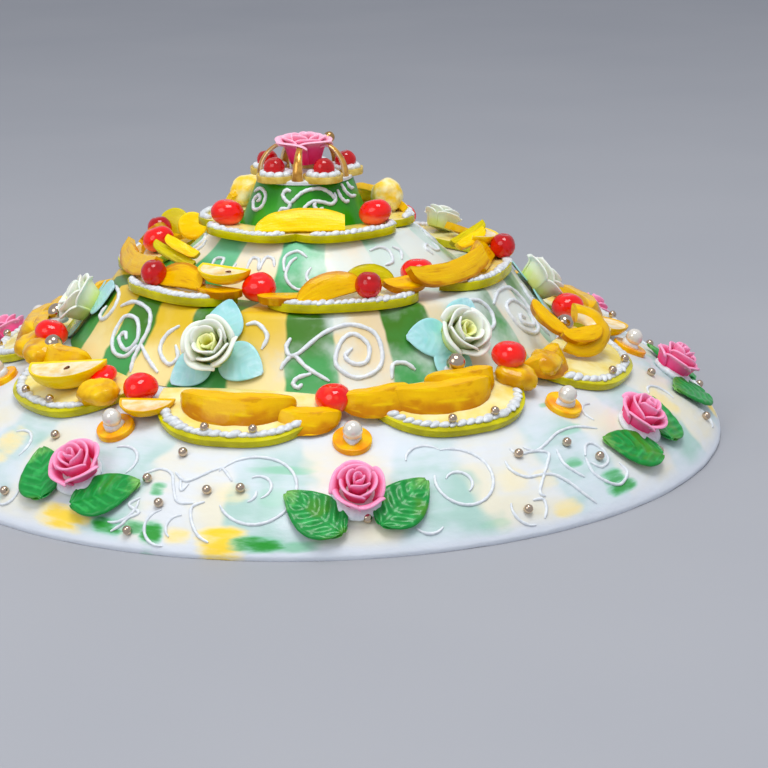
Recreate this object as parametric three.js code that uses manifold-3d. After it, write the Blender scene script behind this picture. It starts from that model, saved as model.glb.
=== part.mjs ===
// A festive cassata: a domed base and three smaller tiers of glazed cake, each ledge ringed with
// candied citron slabs, orange wedges and cherries, with sugar roses and piped scrolls on the slopes.
// Millimetres, +Z up. The origin is the centre of the underside and the front faces -Y.
// Azimuth is measured in degrees round the cake's axis from the front, growing towards +X.

import * as THREE from "three";
import { mergeVertices } from "three/addons/utils/BufferGeometryUtils.js";
import Module from "manifold-3d";

const wasm = await Module();
wasm.setup();

// Driving dimensions of the cake's tiers
const DOME = { foot: 262, ledge: 150, rim: 2, top: 62.5, bulge: 1.6, edge: 0.75, sides: 48, rows: 5 };
const DOME_CROWDING = 1.5;
const TIER_2 = { foot: 156, top: 125.5, bottom: 62.5, height: 41, round: 3, sides: 48 };
const TIER_3 = { foot: 96, top: 62, bottom: 103.5, height: 29, round: 2.5, sides: 36 };
const TIER_4 = { foot: 42, top: 30, bottom: 132.5, height: 30.5, round: 1.5, sides: 24 };

// The gap that keeps neighbouring pieces apart, and how deep a joined piece sinks into its seat
const GAP = 0.3;
const SEAT = 1;

// Garlands of candied fruit: how many slabs ring a ledge and where the first joint between two lies
const GARLAND_1 = { count: 9, joint: 5.5, inner: 159, halfWidth: 50, depth: 49, thickness: 4.5, rows: 2 };
const GARLAND_2 = { count: 6, joint: -20, inner: 98, halfWidth: 46, depth: 30, thickness: 5, rows: 1 };
const GARLAND_3 = { count: 5, joint: -6, inner: 44.5, halfWidth: 35, depth: 24.5, thickness: 4.5, rows: 1 };
const SLAB_COLUMNS = 5;
const SLAB_SQUARENESS = 2.5;
const SLAB_TIP = 0.15;
const SLAB_LIFT = 0.8;

// Wedges of candied peel: a long one and one of three short ones lie on each slab of the first ledge,
// the others lean on a wall
const WEDGE_STEPS = 3;
const WEDGE_TAPER = 0.7;
const WEDGE_BLUNTNESS = 2.5;
const LONG_WEDGE_1 = { length: 60, width: 20, height: 7.8, along: 0, out: 20, lift: 2 };
const SHORT_WEDGES_1 = [
  { length: 26, width: 18, height: 8.5, along: 45, out: 7, lift: 2 },
  { length: 26, width: 16, height: 8, along: 35, out: 17, lift: 2 },
  { length: 33, width: 18, height: 6.5, along: 38, out: 22, lift: 1.5 },
];
const LONG_WEDGE_2 = { length: 58, width: 11, height: 11, along: 4, out: 1.2, lift: 3 };
const SHORT_WEDGE_2 = { length: 26, width: 11, height: 10, along: -34, out: 2.5, lift: 1 };
const WEDGE_3 = { length: 44, width: 9, height: 8, along: 0, out: 2.2, lift: 2.5 };

// Candied cherries, a half one, and the small glossy ones on the second ledge
const CHERRY = { radius: 10.5, flatness: 0.8, sides: 7, rows: 4 };
const HALF_CHERRY = { radius: 9.5, flatness: 0.5, sides: 7, rows: 4 };
const SMALL_CHERRY = { radius: 8, flatness: 1, sides: 7, rows: 4 };

// Cherries near the first ledge's joints: most lie on the slabs, two on a wedge
const LOW_CHERRIES = [
  { turn: -2.3, radius: 178, height: 67 },
  { turn: -4.5, radius: 174, height: 77.5 },
  { turn: 4.1, radius: 164, height: 74.3 },
  { turn: -2.3, radius: 178, height: 67 },
  { turn: -4.5, radius: 174, height: 77.5 },
  { turn: -0.5, radius: 178, height: 67 },
  { turn: -2.3, radius: 178, height: 67 },
  { turn: -2.5, radius: 169.3, height: 73.5 },
  { turn: -0.5, radius: 178, height: 67 },
];
const HALF_CHERRY_PLACE = { azimuth: -45.8, radius: 176, height: 68.6 };

// Cherries of the second ledge, the first of which lies lower, between the ends of two slabs
const MID_CHERRY_RADIUS = 105;
const MID_CHERRY_AZIMUTHS = [-18, 37, 145, 184, 216, 254];
const LOWER_BY = 3.6;
const SMALL_CHERRIES = [
  { azimuth: -54.8, radius: 119 },
  { azimuth: 15.8, radius: 119 },
  { azimuth: 84, radius: 122 },
  { azimuth: 166, radius: 119 },
  { azimuth: 237, radius: 122 },
];
const TOP_CHERRY_RADIUS = 54;
const TOP_CHERRY_AZIMUTHS = [-65, 54, 172];

// Chunks of sugared lemon behind the top tier
const CHUNK = { radius: 12.5, flatness: 0.85, sides: 6, rows: 4 };
const CHUNK_RADIUS = 53;
const CHUNK_AZIMUTHS = [100, -126];

// Rings of a rose from its underside to its heart, as shares of its radius and height
const OPEN_ROSE = [[0.9, 0.02], [1, 0.45], [0.72, 0.6], [0.6, 0.95]];
const CUPPED_ROSE = [[0.52, 0.02], [0.7, 0.36], [0.72, 0.68], [1, 0.84], [0.92, 0.98], [0.5, 0.9]];

// Pink roses with two leaves, set by hand low on the dome
const ROSE = { radius: 16.5, height: 21, petals: 5, rings: OPEN_ROSE };
const ROSE_PLACES = [
  { azimuth: 5, onDome: 238, spin: 0 },
  { azimuth: 55, onDome: 231, spin: 4 },
  { azimuth: 84.5, onDome: 229, spin: 8 },
  { azimuth: 125, onDome: 236, spin: -6 },
  { azimuth: 166, onDome: 231, spin: 5 },
  { azimuth: 205, onDome: 237, spin: -4 },
  { azimuth: 244, onDome: 233, spin: 7 },
  { azimuth: 286, onDome: 229, spin: -5 },
  { azimuth: 325.5, onDome: 234, spin: -10 },
];
const LEAF = { length: 40, width: 28, thickness: 1.8, wave: 0.9, rows: 3 };
const ROSE_LEAVES = [
  { aside: 11, below: 21, angle: 46 },
  { aside: -10, below: 25, angle: 134 },
];

// White wafer flowers with three leaves, a little above the middle of the second tier
const WAFER = { radius: 16, height: 22, petals: 5, rings: OPEN_ROSE };
const WAFER_COUNT = 6;
const WAFER_FIRST = -24;
const WAFER_UP = 20;
const WAFER_LEAF = { length: 27, width: 25, thickness: 1.6, wave: 0.8, rows: 2 };
const WAFER_LEAF_ANGLES = [[88, -18, 222], [165, 45, 236]];
const WAFER_LEAF_STEM = 4;

// One more white rose, without leaves, stands on the second ledge
const LEDGE_ROSE = { radius: 10.5, height: 18, petals: 4, rings: OPEN_ROSE };
const LEDGE_ROSE_PLACE = { azimuth: 131, radius: 113.5 };

// Petals wave in and out by a share of their reach; those of the inner rings stand between the outer ones
const PETAL_WAVE = 0.08;
const INNER_RINGS = 0.8;
const HEART_DIP = 1;

// A leaf's outline: how broad its stem is, how far its belly lies towards the stem and how round it is
const LEAF_OUTLINE = { stem: 0.06, belly: 0.75, roundness: 0.8, waves: 1.5 };

// Small sugar beads, scattered alike on each third of the dome, and the gold discs that carry a pearl
const BEAD_RADIUS = 3;
const BEAD_THIRDS = 3;
const BEADS = [
  { azimuth: -44, radius: 217 },
  { azimuth: -24, radius: 232 },
  { azimuth: -10.5, radius: 233.5 },
  { azimuth: 6, radius: 253 },
  { azimuth: 30, radius: 226 },
  { azimuth: 27, radius: 254 },
];
const COIN = { radius: 11, thickness: 3.6, onDome: 203, pearl: 5.8, sides: 8, pearlRows: 4 };

// Piped scrolls of icing
const PIPING_RADIUS = 1.7;
const PIPING_SIDES = 4;
const TIER_2_SCROLL = { first: 8.7, count: 6, up: -4, start: 0, turns: 1.4, eye: 4, reach: 14, steps: 10 };
const TIER_3_SCROLL = { first: 16, count: 5, up: 5, start: -20, turns: 0.6, eye: 3, reach: 8, steps: 5 };
const TIER_4_SCROLL = { first: -12, count: 5, up: 3, start: -20, turns: 0.6, eye: 3, reach: 7, steps: 5 };

// The top tier, its garland and the crown stand a little to the left of the cake's axis
const TOP_SHIFT = -4;

// The crown: a lobed gold plate, a cherry on each lobe and arched strips round a rose
const CROWN = { lobes: 5, first: -45, lobeRadius: 12, lobeReach: 25, lobeSides: 8, hub: 28.5, thickness: 5 };
const CROWN_CHERRY = { radius: 6.5, reach: 27, sides: 6, rows: 4 };
const CROWN_STRIP = { centre: 9, rise: 2, radius: 21, thickness: 2.4, width: 5, sweep: 68, steps: 3 };
const CROWN_ROSE = { radius: 17.5, height: 19.5, petals: 6, rings: CUPPED_ROSE };
const CROWN_ROSE_LIFT = 8;

// Vertices closer than this are one
const WELD = 1e-3;

const radians = THREE.MathUtils.degToRad;
const degrees = THREE.MathUtils.radToDeg;

// Finishes
const glaze = new THREE.MeshStandardMaterial({ color: 0xe8eeea, roughness: 0.35 });
const stripedGlaze = new THREE.MeshStandardMaterial({ color: 0xd9e0b4, roughness: 0.35 });
const greenMarzipan = new THREE.MeshStandardMaterial({ color: 0x2f8a1f, roughness: 0.4 });
const candiedCitron = new THREE.MeshStandardMaterial({ color: 0xd8bf1e, roughness: 0.25 });
const candiedCherry = new THREE.MeshStandardMaterial({ color: 0xe02a12, roughness: 0.15 });
const glossyCherry = new THREE.MeshStandardMaterial({ color: 0xb5081a, roughness: 0.1 });
const pinkSugar = new THREE.MeshStandardMaterial({ color: 0xe86a94, roughness: 0.5 });
const whiteWafer = new THREE.MeshStandardMaterial({ color: 0xeef0e2, roughness: 0.6 });
const paleGold = new THREE.MeshStandardMaterial({ color: 0xcdae62, roughness: 0.3, metalness: 0.6 });

// A closed geometry as a solid for joining and cutting
function solidOf(geometry) {
  const bare = geometry.clone();
  bare.deleteAttribute("normal");
  bare.deleteAttribute("uv");
  const merged = mergeVertices(bare, WELD);
  const corners = merged.index.array;
  const triangles = [];
  for (let i = 0; i < corners.length; i += 3) {
    const [a, b, c] = [corners[i], corners[i + 1], corners[i + 2]];
    if (a !== b && b !== c && c !== a) triangles.push(a, b, c);
  }
  const vertProperties = new Float32Array(merged.attributes.position.array);
  const triVerts = new Uint32Array(triangles);
  return new wasm.Manifold(new wasm.Mesh({ numProp: 3, vertProperties, triVerts }));
}

// A solid's surface as a geometry, without any scrap that a cut left loose
function geometryOf(solid) {
  const bodies = solid.decompose();
  bodies.sort((a, b) => b.volume() - a.volume());
  const mesh = bodies[0].getMesh();
  const geometry = new THREE.BufferGeometry();
  geometry.setAttribute("position", new THREE.BufferAttribute(new Float32Array(mesh.vertProperties), 3));
  geometry.setIndex(new THREE.BufferAttribute(new Uint32Array(mesh.triVerts), 1));
  geometry.computeVertexNormals();
  return geometry;
}

function join(geometries) {
  return geometryOf(geometries.map(solidOf).reduce((whole, piece) => whole.add(piece)));
}

// Moves every vertex by a rule that changes the vector it is given
function reshape(geometry, rule) {
  const position = geometry.attributes.position;
  const point = new THREE.Vector3();
  for (let i = 0; i < position.count; i++) {
    point.fromBufferAttribute(position, i);
    rule(point);
    position.setXYZ(i, point.x, point.y, point.z);
  }
  return geometry;
}

// Turns a profile of radius and height about the Z axis
function lathe(profile, sides) {
  const points = profile.map(([radius, height]) => new THREE.Vector2(radius, height));
  return new THREE.LatheGeometry(points, sides).rotateX(Math.PI / 2);
}

// A point at an azimuth, a radius and a height
function around(azimuth, radius, height) {
  const angle = radians(azimuth);
  return new THREE.Vector3(radius * Math.sin(angle), -radius * Math.cos(angle), height);
}

// The azimuths of pieces spread evenly round the cake
function spread(count, first) {
  return Array.from({ length: count }, (_, i) => first + (360 * i) / count);
}

// The dome's surface: its height at a radius, and its slope there in degrees
function domeHeight(radius) {
  const share = THREE.MathUtils.clamp((radius - DOME.ledge) / (DOME.foot - DOME.ledge), 0, 1);
  return DOME.rim + (DOME.top - DOME.rim) * (1 - share ** DOME.bulge) ** DOME.edge;
}

function domeSlope(radius) {
  const step = 0.5;
  return degrees(Math.atan2(domeHeight(radius - step) - domeHeight(radius + step), 2 * step));
}

// The dome's rows of vertices lie closer together towards its rounded foot
function domeProfile() {
  const profile = [[0, 0], [DOME.foot, 0]];
  for (let row = 0; row <= DOME.rows; row++) {
    const share = 1 - (row / DOME.rows) ** DOME_CROWDING;
    const radius = DOME.ledge + (DOME.foot - DOME.ledge) * share;
    profile.push([radius, domeHeight(radius)]);
  }
  profile.push([0, DOME.top]);
  return profile;
}

// A tier's wall: its radius at a height above the tier's foot
function wallRadius(tier, up) {
  return tier.foot + (tier.top - tier.foot) * THREE.MathUtils.clamp(up / tier.height, 0, 1);
}

// A cone's frustum with a rounded upper edge
function tierProfile(tier) {
  const top = tier.bottom + tier.height;
  const shoulder = tier.height - tier.round;
  return [
    [0, tier.bottom],
    [tier.foot, tier.bottom],
    [wallRadius(tier, shoulder), tier.bottom + shoulder],
    [tier.top - tier.round, top],
    [0, top],
  ];
}

// A point on a tier's wall, given in millimetres along and up from the middle of the wall
function onWall(tier, azimuth, along, up) {
  const slant = Math.hypot(tier.foot - tier.top, tier.height);
  const height = tier.height * (0.5 + up / slant);
  const radius = wallRadius(tier, height);
  return around(azimuth + degrees(along / radius), radius, tier.bottom + height);
}

// A piped strand of icing that follows a spiral from its eye to its open end
function pipedScroll(scroll, place) {
  const points = [];
  for (let step = 0; step <= scroll.steps; step++) {
    const share = step / scroll.steps;
    const angle = radians(scroll.start + 360 * scroll.turns * share);
    const reach = scroll.eye + (scroll.reach - scroll.eye) * share;
    points.push(place(reach * Math.cos(angle), reach * Math.sin(angle)));
  }
  const section = new THREE.Shape();
  for (let side = 0; side < PIPING_SIDES; side++) {
    const angle = (2 * Math.PI * side) / PIPING_SIDES;
    const [x, y] = [PIPING_RADIUS * Math.cos(angle), PIPING_RADIUS * Math.sin(angle)];
    if (side === 0) section.moveTo(x, y);
    else section.lineTo(x, y);
  }
  const extrudePath = new THREE.CatmullRomCurve3(points);
  return new THREE.ExtrudeGeometry(section, { steps: scroll.steps, extrudePath, bevelEnabled: false });
}

function wallScrolls(tier, scroll) {
  return spread(scroll.count, scroll.first).map((azimuth) => {
    return pipedScroll(scroll, (along, up) => onWall(tier, azimuth, along, scroll.up + up));
  });
}

function ball({ radius, sides, rows, flatness = 1 }) {
  const body = new THREE.SphereGeometry(radius, sides, rows).rotateX(Math.PI / 2);
  return body.scale(1, 1, flatness);
}

// A gold disc lying on the dome, half sunk in the glaze, with a pearl on it
function coinWithPearl(azimuth) {
  const disc = new THREE.CylinderGeometry(COIN.radius, COIN.radius, 2 * COIN.thickness, COIN.sides);
  disc.rotateX(Math.PI / 2);
  const pearl = ball({ radius: COIN.pearl, sides: COIN.sides, rows: COIN.pearlRows });
  pearl.translate(0, 0, COIN.thickness + COIN.pearl - SEAT);
  const slope = radians(domeSlope(COIN.onDome));
  const seat = around(azimuth, COIN.onDome, domeHeight(COIN.onDome));
  return [disc, pearl].map((piece) => {
    return piece.rotateX(slope).rotateZ(radians(azimuth)).translate(seat.x, seat.y, seat.z);
  });
}

function sugarBead(azimuth, radius) {
  const bead = new THREE.IcosahedronGeometry(BEAD_RADIUS, 0);
  const centre = around(azimuth, radius, domeHeight(radius) + BEAD_RADIUS / 2);
  return bead.translate(centre.x, centre.y, centre.z);
}

function domeToppings() {
  const toppings = [];
  for (const azimuth of spread(GARLAND_1.count, GARLAND_1.joint)) {
    toppings.push(...coinWithPearl(azimuth));
  }
  for (const bead of BEADS) {
    for (const azimuth of spread(BEAD_THIRDS, bead.azimuth)) toppings.push(sugarBead(azimuth, bead.radius));
  }
  return toppings;
}

// A citron slab: a half moon whose straight side faces the axis and whose underside follows its ledge
function citronSlab(garland, ledgeHeight) {
  const slab = new THREE.BoxGeometry(1, 1, 1, SLAB_COLUMNS, garland.rows, 1);
  return reshape(slab, (point) => {
    const across = Math.sin(Math.PI * point.x);
    const rounded = (1 - Math.abs(across) ** SLAB_SQUARENESS) ** (1 / SLAB_SQUARENESS);
    const outward = garland.depth * (0.5 - point.y) * Math.max(SLAB_TIP, rounded);
    const x = garland.halfWidth * across;
    const y = garland.inner + outward;
    const height = ledgeHeight(Math.hypot(x, y)) + SLAB_LIFT + garland.thickness * (point.z + 0.5);
    point.set(x, -y, height);
  });
}

// A boat-shaped wedge of peel; a rule gives each of its points a radius and a height
function peelWedge(garland, { length, width, height, along, out, lift }, place) {
  const wedge = new THREE.BoxGeometry(1, 1, 1, WEDGE_STEPS, 1, 1);
  return reshape(wedge, (point) => {
    const taper = 1 - WEDGE_TAPER * Math.abs(2 * point.x) ** WEDGE_BLUNTNESS;
    const outward = out + width * (0.5 - point.y) * taper;
    const up = lift + height * (point.z + 0.5) * taper;
    const azimuth = degrees((along + length * point.x) / garland.inner);
    point.copy(around(azimuth, ...place(outward, up)));
  });
}

// A wedge that lies on the dome's slope
function lyingWedge(garland, wedge) {
  return peelWedge(garland, wedge, (outward, up) => {
    const radius = garland.inner + outward;
    return [radius, domeHeight(radius) + up];
  });
}

// A wedge that stands on a slab and leans on the wall of the tier behind it
function leaningWedge(garland, wedge, tier) {
  return peelWedge(garland, wedge, (outward, up) => [wallRadius(tier, up) + outward, tier.bottom + up]);
}

// A rose on a lathe whose rings of petals wave in and out, each ring half a petal on from the last
function roseBody(rose) {
  const profile = rose.rings.map(([radius, height]) => [radius * rose.radius, height * rose.height]);
  const heart = [0, profile.at(-1)[1] - HEART_DIP];
  const body = lathe([[0, 0], ...profile, heart], 2 * rose.petals);
  return reshape(body, (point) => {
    const reach = Math.hypot(point.x, point.y) / rose.radius;
    const halfPetal = reach < INNER_RINGS ? Math.PI : 0;
    const wave = 1 + PETAL_WAVE * Math.cos(rose.petals * Math.atan2(point.y, point.x) + halfPetal);
    point.x *= wave;
    point.y *= wave;
  });
}

// A thin wavy leaf with a pointed tip that starts at its stem, points along an angle
// and bends down with the round surface under it
function leafBlade(leaf, { stem, angle, droop }) {
  const { stem: stemShare, belly, roundness, waves } = LEAF_OUTLINE;
  const blade = new THREE.BoxGeometry(1, 2, leaf.thickness, leaf.rows, 2, 1);
  reshape(blade, (point) => {
    const share = point.x + 0.5;
    const fullness = stemShare + (1 - stemShare) * Math.sin(Math.PI * share ** belly) ** roundness;
    const wave = leaf.wave * Math.abs(point.y) * Math.cos(2 * Math.PI * waves * share);
    point.set(leaf.length * share, (leaf.width / 2) * point.y * fullness, point.z + wave);
  });
  blade.rotateZ(radians(angle)).translate(stem.x, stem.y, 0);
  return reshape(blade, (point) => {
    point.z += leaf.thickness / 2 + leaf.wave + GAP - point.x ** 2 / (2 * droop);
  });
}

function roseSpray(onDome) {
  const droop = onDome / Math.sin(radians(domeSlope(onDome)));
  const blades = ROSE_LEAVES.map(({ aside, below, angle }) => {
    return leafBlade(LEAF, { stem: new THREE.Vector2(aside, -below), angle, droop });
  });
  return join([roseBody(ROSE), ...blades]);
}

function waferFlower(leafAngles) {
  const droop = wallRadius(TIER_2, WAFER_UP);
  const blades = leafAngles.map((angle) => {
    const stem = new THREE.Vector2(WAFER_LEAF_STEM, 0).rotateAround(new THREE.Vector2(), radians(angle));
    return leafBlade(WAFER_LEAF, { stem, angle, droop });
  });
  return join([roseBody(WAFER), ...blades]);
}

// An arched strip of the crown, drawn in a plane through the axis and given its width
function crownStrip() {
  const sweep = radians(CROWN_STRIP.sweep);
  const inner = CROWN_STRIP.radius - CROWN_STRIP.thickness;
  const outline = new THREE.Shape();
  outline.absarc(CROWN_STRIP.centre, CROWN_STRIP.rise, CROWN_STRIP.radius, 0, sweep, false);
  outline.absarc(CROWN_STRIP.centre, CROWN_STRIP.rise, inner, sweep, 0, true);
  outline.closePath();
  const options = { depth: CROWN_STRIP.width, bevelEnabled: false, curveSegments: CROWN_STRIP.steps };
  const strip = new THREE.ExtrudeGeometry(outline, options);
  return strip.translate(0, 0, -CROWN_STRIP.width / 2).rotateX(Math.PI / 2);
}

function crownPlate(radius, sides) {
  const disc = new THREE.CylinderGeometry(radius, radius, CROWN.thickness, sides);
  return disc.rotateX(Math.PI / 2).translate(0, 0, CROWN.thickness / 2);
}

// One copy of a shape for each lobe of the crown, turned from the +X axis to its azimuth
function roundCrown(first, makeShape) {
  return spread(CROWN.lobes, first).map((azimuth) => makeShape().rotateZ(radians(azimuth - 90)));
}

function crownBody() {
  const lobes = roundCrown(CROWN.first, () => {
    return crownPlate(CROWN.lobeRadius, CROWN.lobeSides).translate(CROWN.lobeReach, 0, 0);
  });
  const cherries = roundCrown(CROWN.first, () => {
    const height = CROWN.thickness + CROWN_CHERRY.radius - SEAT;
    return ball(CROWN_CHERRY).translate(CROWN_CHERRY.reach, 0, height);
  });
  const strips = roundCrown(CROWN.first + 180 / CROWN.lobes, crownStrip);
  return join([crownPlate(CROWN.hub, 2 * CROWN.lobeSides), ...lobes, ...cherries, ...strips]);
}

const cassata = new THREE.Group();
cassata.name = "cassata";
const upperPart = new THREE.Group();
upperPart.position.x = TOP_SHIFT;
cassata.add(upperPart);

// Adds a piece, turned to its azimuth, moved out to its radius, tipped onto its slope and spun there
function stand(name, geometry, material, place) {
  const { azimuth = 0, radius = 0, height = 0, tilt = 0, spin = 0, on = cassata } = place;
  const mesh = new THREE.Mesh(geometry, material);
  mesh.name = name;
  mesh.position.set(0, -radius, height);
  mesh.rotation.set(radians(tilt), 0, radians(spin));
  const turn = new THREE.Group();
  turn.rotation.z = radians(azimuth);
  turn.add(mesh);
  on.add(turn);
  mesh.updateWorldMatrix(true, false);
  return mesh;
}

// Cuts hollows in a standing piece for the neighbours that press into it
function fit(mesh, cutters) {
  const toLocal = mesh.matrixWorld.clone().invert();
  const cut = cutters.reduce((body, cutter) => {
    return body.subtract(solidOf(cutter.clone().applyMatrix4(toLocal)));
  }, solidOf(mesh.geometry));
  mesh.geometry = geometryOf(cut);
}

// Adds a cherry and returns the hollow that leaves room for it
function addCherry(name, cherry, material, place) {
  const mesh = stand(name, ball(cherry), material, place);
  return ball({ ...cherry, radius: cherry.radius + GAP }).applyMatrix4(mesh.matrixWorld);
}

function addTiers() {
  stand("dome_base", join([lathe(domeProfile(), DOME.sides), ...domeToppings()]), glaze, {});
  const upperTiers = [
    ["tier_2", TIER_2, TIER_2_SCROLL, stripedGlaze, cassata],
    ["tier_3", TIER_3, TIER_3_SCROLL, stripedGlaze, cassata],
    ["tier_4", TIER_4, TIER_4_SCROLL, greenMarzipan, upperPart],
  ];
  for (const [name, tier, scroll, material, on] of upperTiers) {
    stand(name, join([lathe(tierProfile(tier), tier.sides), ...wallScrolls(tier, scroll)]), material, { on });
  }
}

// First ledge: slabs that lie on the dome's slope, a long wedge and a short one on each, and cherries
function addFirstGarland() {
  const { count, joint } = GARLAND_1;
  const hollows = spread(count, joint).map((azimuth, i) => {
    const { turn, radius, height } = LOW_CHERRIES[i];
    const place = { azimuth: azimuth + turn, radius, height };
    return addCherry(`cherry_low_${i + 1}`, CHERRY, candiedCherry, place);
  });
  hollows.push(addCherry(`cherry_low_${count + 1}`, HALF_CHERRY, candiedCherry, HALF_CHERRY_PLACE));
  spread(count, joint + 180 / count).forEach((azimuth, i) => {
    const slab = citronSlab(GARLAND_1, domeHeight);
    const shortWedge = SHORT_WEDGES_1[i % SHORT_WEDGES_1.length];
    const wedges = [LONG_WEDGE_1, shortWedge].map((wedge) => lyingWedge(GARLAND_1, wedge));
    fit(stand(`citron_low_${i + 1}`, join([slab, ...wedges]), candiedCitron, { azimuth }), hollows);
  });
}

// Second ledge: flat slabs that reach past the edge, wedges, cherries of both kinds and a white rose
function addSecondGarland() {
  const { count, joint, thickness } = GARLAND_2;
  const ledge = TIER_3.bottom;
  const slabTop = ledge + SLAB_LIFT + thickness + GAP;
  const hollows = MID_CHERRY_AZIMUTHS.map((azimuth, i) => {
    const height = slabTop + CHERRY.radius * CHERRY.flatness - (i === 0 ? LOWER_BY : 0);
    return addCherry(`cherry_mid_${i + 1}`, CHERRY, candiedCherry, { azimuth, radius: MID_CHERRY_RADIUS, height });
  });
  SMALL_CHERRIES.forEach((cherry, i) => {
    const place = { ...cherry, height: slabTop + SMALL_CHERRY.radius };
    hollows.push(addCherry(`cherry_small_${i + 1}`, SMALL_CHERRY, glossyCherry, place));
  });
  stand("ledge_rose", roseBody(LEDGE_ROSE), whiteWafer, { ...LEDGE_ROSE_PLACE, height: slabTop });
  spread(count, joint + 180 / count).forEach((azimuth, i) => {
    const slab = citronSlab(GARLAND_2, () => ledge);
    const wedges = [LONG_WEDGE_2, SHORT_WEDGE_2].map((wedge) => leaningWedge(GARLAND_2, wedge, TIER_3));
    fit(stand(`citron_mid_${i + 1}`, join([slab, ...wedges]), candiedCitron, { azimuth }), hollows);
  });
}

// Third ledge: slabs whose ends overlap into one ring, with wedges, chunks and three cherries on it
function addThirdGarland() {
  const { count, joint, thickness } = GARLAND_3;
  const ledge = TIER_4.bottom;
  const pieces = spread(count, joint + 180 / count).flatMap((azimuth) => {
    const slab = citronSlab(GARLAND_3, () => ledge);
    const wedge = leaningWedge(GARLAND_3, WEDGE_3, TIER_4);
    return [slab, wedge].map((piece) => piece.rotateZ(radians(azimuth)));
  });
  const setOnRing = (piece, azimuth, radius) => {
    const centre = around(azimuth, radius, ledge + thickness + piece.radius * piece.flatness - SEAT);
    pieces.push(ball(piece).translate(centre.x, centre.y, centre.z));
  };
  for (const azimuth of TOP_CHERRY_AZIMUTHS) setOnRing(CHERRY, azimuth, TOP_CHERRY_RADIUS);
  for (const azimuth of CHUNK_AZIMUTHS) setOnRing(CHUNK, azimuth, CHUNK_RADIUS);
  stand("citron_top", join(pieces), candiedCitron, { on: upperPart });
}

function addFlowers() {
  ROSE_PLACES.forEach(({ azimuth, onDome, spin }, i) => {
    stand(`rose_spray_${i + 1}`, roseSpray(onDome), pinkSugar, {
      azimuth,
      radius: onDome,
      height: domeHeight(onDome) + GAP,
      tilt: domeSlope(onDome),
      spin,
    });
  });
  spread(WAFER_COUNT, WAFER_FIRST).forEach((azimuth, i) => {
    const leafAngles = WAFER_LEAF_ANGLES[i % WAFER_LEAF_ANGLES.length];
    stand(`wafer_flower_${i + 1}`, waferFlower(leafAngles), whiteWafer, {
      azimuth,
      radius: wallRadius(TIER_2, WAFER_UP) + GAP,
      height: TIER_2.bottom + WAFER_UP,
      tilt: degrees(Math.atan2(TIER_2.height, TIER_2.foot - TIER_2.top)),
    });
  });
}

function addCrown() {
  const top = TIER_4.bottom + TIER_4.height;
  stand("crown_plate", crownBody(), paleGold, { height: top, on: upperPart });
  stand("crown_rose", roseBody(CROWN_ROSE), pinkSugar, { height: top + CROWN_ROSE_LIFT, on: upperPart });
}

addTiers();
addFirstGarland();
addSecondGarland();
addThirdGarland();
addFlowers();
addCrown();

export default cassata;
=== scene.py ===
"""A festive cassata in four tiers, with candied fruit, sugar roses and piped icing, over the solids."""
import math
import random
from collections import namedtuple
from contextlib import contextmanager

import bpy
from mathutils import Matrix, Vector


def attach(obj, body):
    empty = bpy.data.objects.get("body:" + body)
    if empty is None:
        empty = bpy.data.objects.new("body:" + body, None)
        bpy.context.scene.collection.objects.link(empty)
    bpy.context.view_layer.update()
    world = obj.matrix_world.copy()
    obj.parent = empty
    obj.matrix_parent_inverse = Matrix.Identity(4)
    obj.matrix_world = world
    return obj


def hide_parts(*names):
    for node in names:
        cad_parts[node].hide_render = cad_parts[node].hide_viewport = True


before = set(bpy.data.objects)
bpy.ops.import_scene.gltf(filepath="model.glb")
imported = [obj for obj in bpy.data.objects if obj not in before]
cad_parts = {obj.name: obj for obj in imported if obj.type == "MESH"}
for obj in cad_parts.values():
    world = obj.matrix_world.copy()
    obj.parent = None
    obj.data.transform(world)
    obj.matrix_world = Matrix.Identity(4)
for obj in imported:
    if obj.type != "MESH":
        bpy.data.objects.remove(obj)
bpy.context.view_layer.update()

random.seed(8)

# Shapes are drawn in millimetres and brought to metres when they are finished
MM = 0.001
SMOOTH_ANGLE = 50

# The cake's tiers, as in the solids
DOME_FOOT, DOME_LEDGE, DOME_RIM, DOME_TOP = 262.0, 150.0, 2.0, 62.5
DOME_BULGE, DOME_EDGE = 1.6, 0.75
Tier = namedtuple("Tier", "foot top bottom height shift")
TIER_2 = Tier(156, 125.5, DOME_TOP, 41, 0)
TIER_3 = Tier(96, 62, TIER_2.bottom + TIER_2.height, 29, 0)
TIER_4 = Tier(42, 30, TIER_3.bottom + TIER_3.height, 30.5, -4)
CROWN_FOOT = TIER_4.bottom + TIER_4.height
THIRDS = (0, 120, 240)

# The garlands of citron slabs, as in the solids
Garland = namedtuple("Garland", "count joint inner half_width depth thickness")
GARLAND_1 = Garland(9, 5.5, 159, 50, 49, 4.5)
GARLAND_2 = Garland(6, -20, 98, 46, 30, 5)
GARLAND_3 = Garland(5, -6, 44.5, 35, 24.5, 4.5)
SLAB_SQUARENESS, SLAB_TIP, SLAB_LIFT = 2.5, 0.15, 0.8

# Pink roses on the dome: azimuth, radius and spin
ROSE_PLACES = [(5, 238, 0), (55, 231, 4), (84.5, 229, 8), (125, 236, -6), (166, 231, 5), (205, 237, -4),
               (244, 233, 7), (286, 229, -5), (325.5, 234, -10)]

# Wafer flowers on the second tier: azimuths, height above its foot, and where the leaves point in turn
WAFER_AZIMUTHS = range(-24, 336, 60)
WAFER_UP = 20
WAFER_LEAF_ANGLES = [(88, -18, 222), (165, 45, 236)]
LEAF_VEINS = 6

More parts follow.
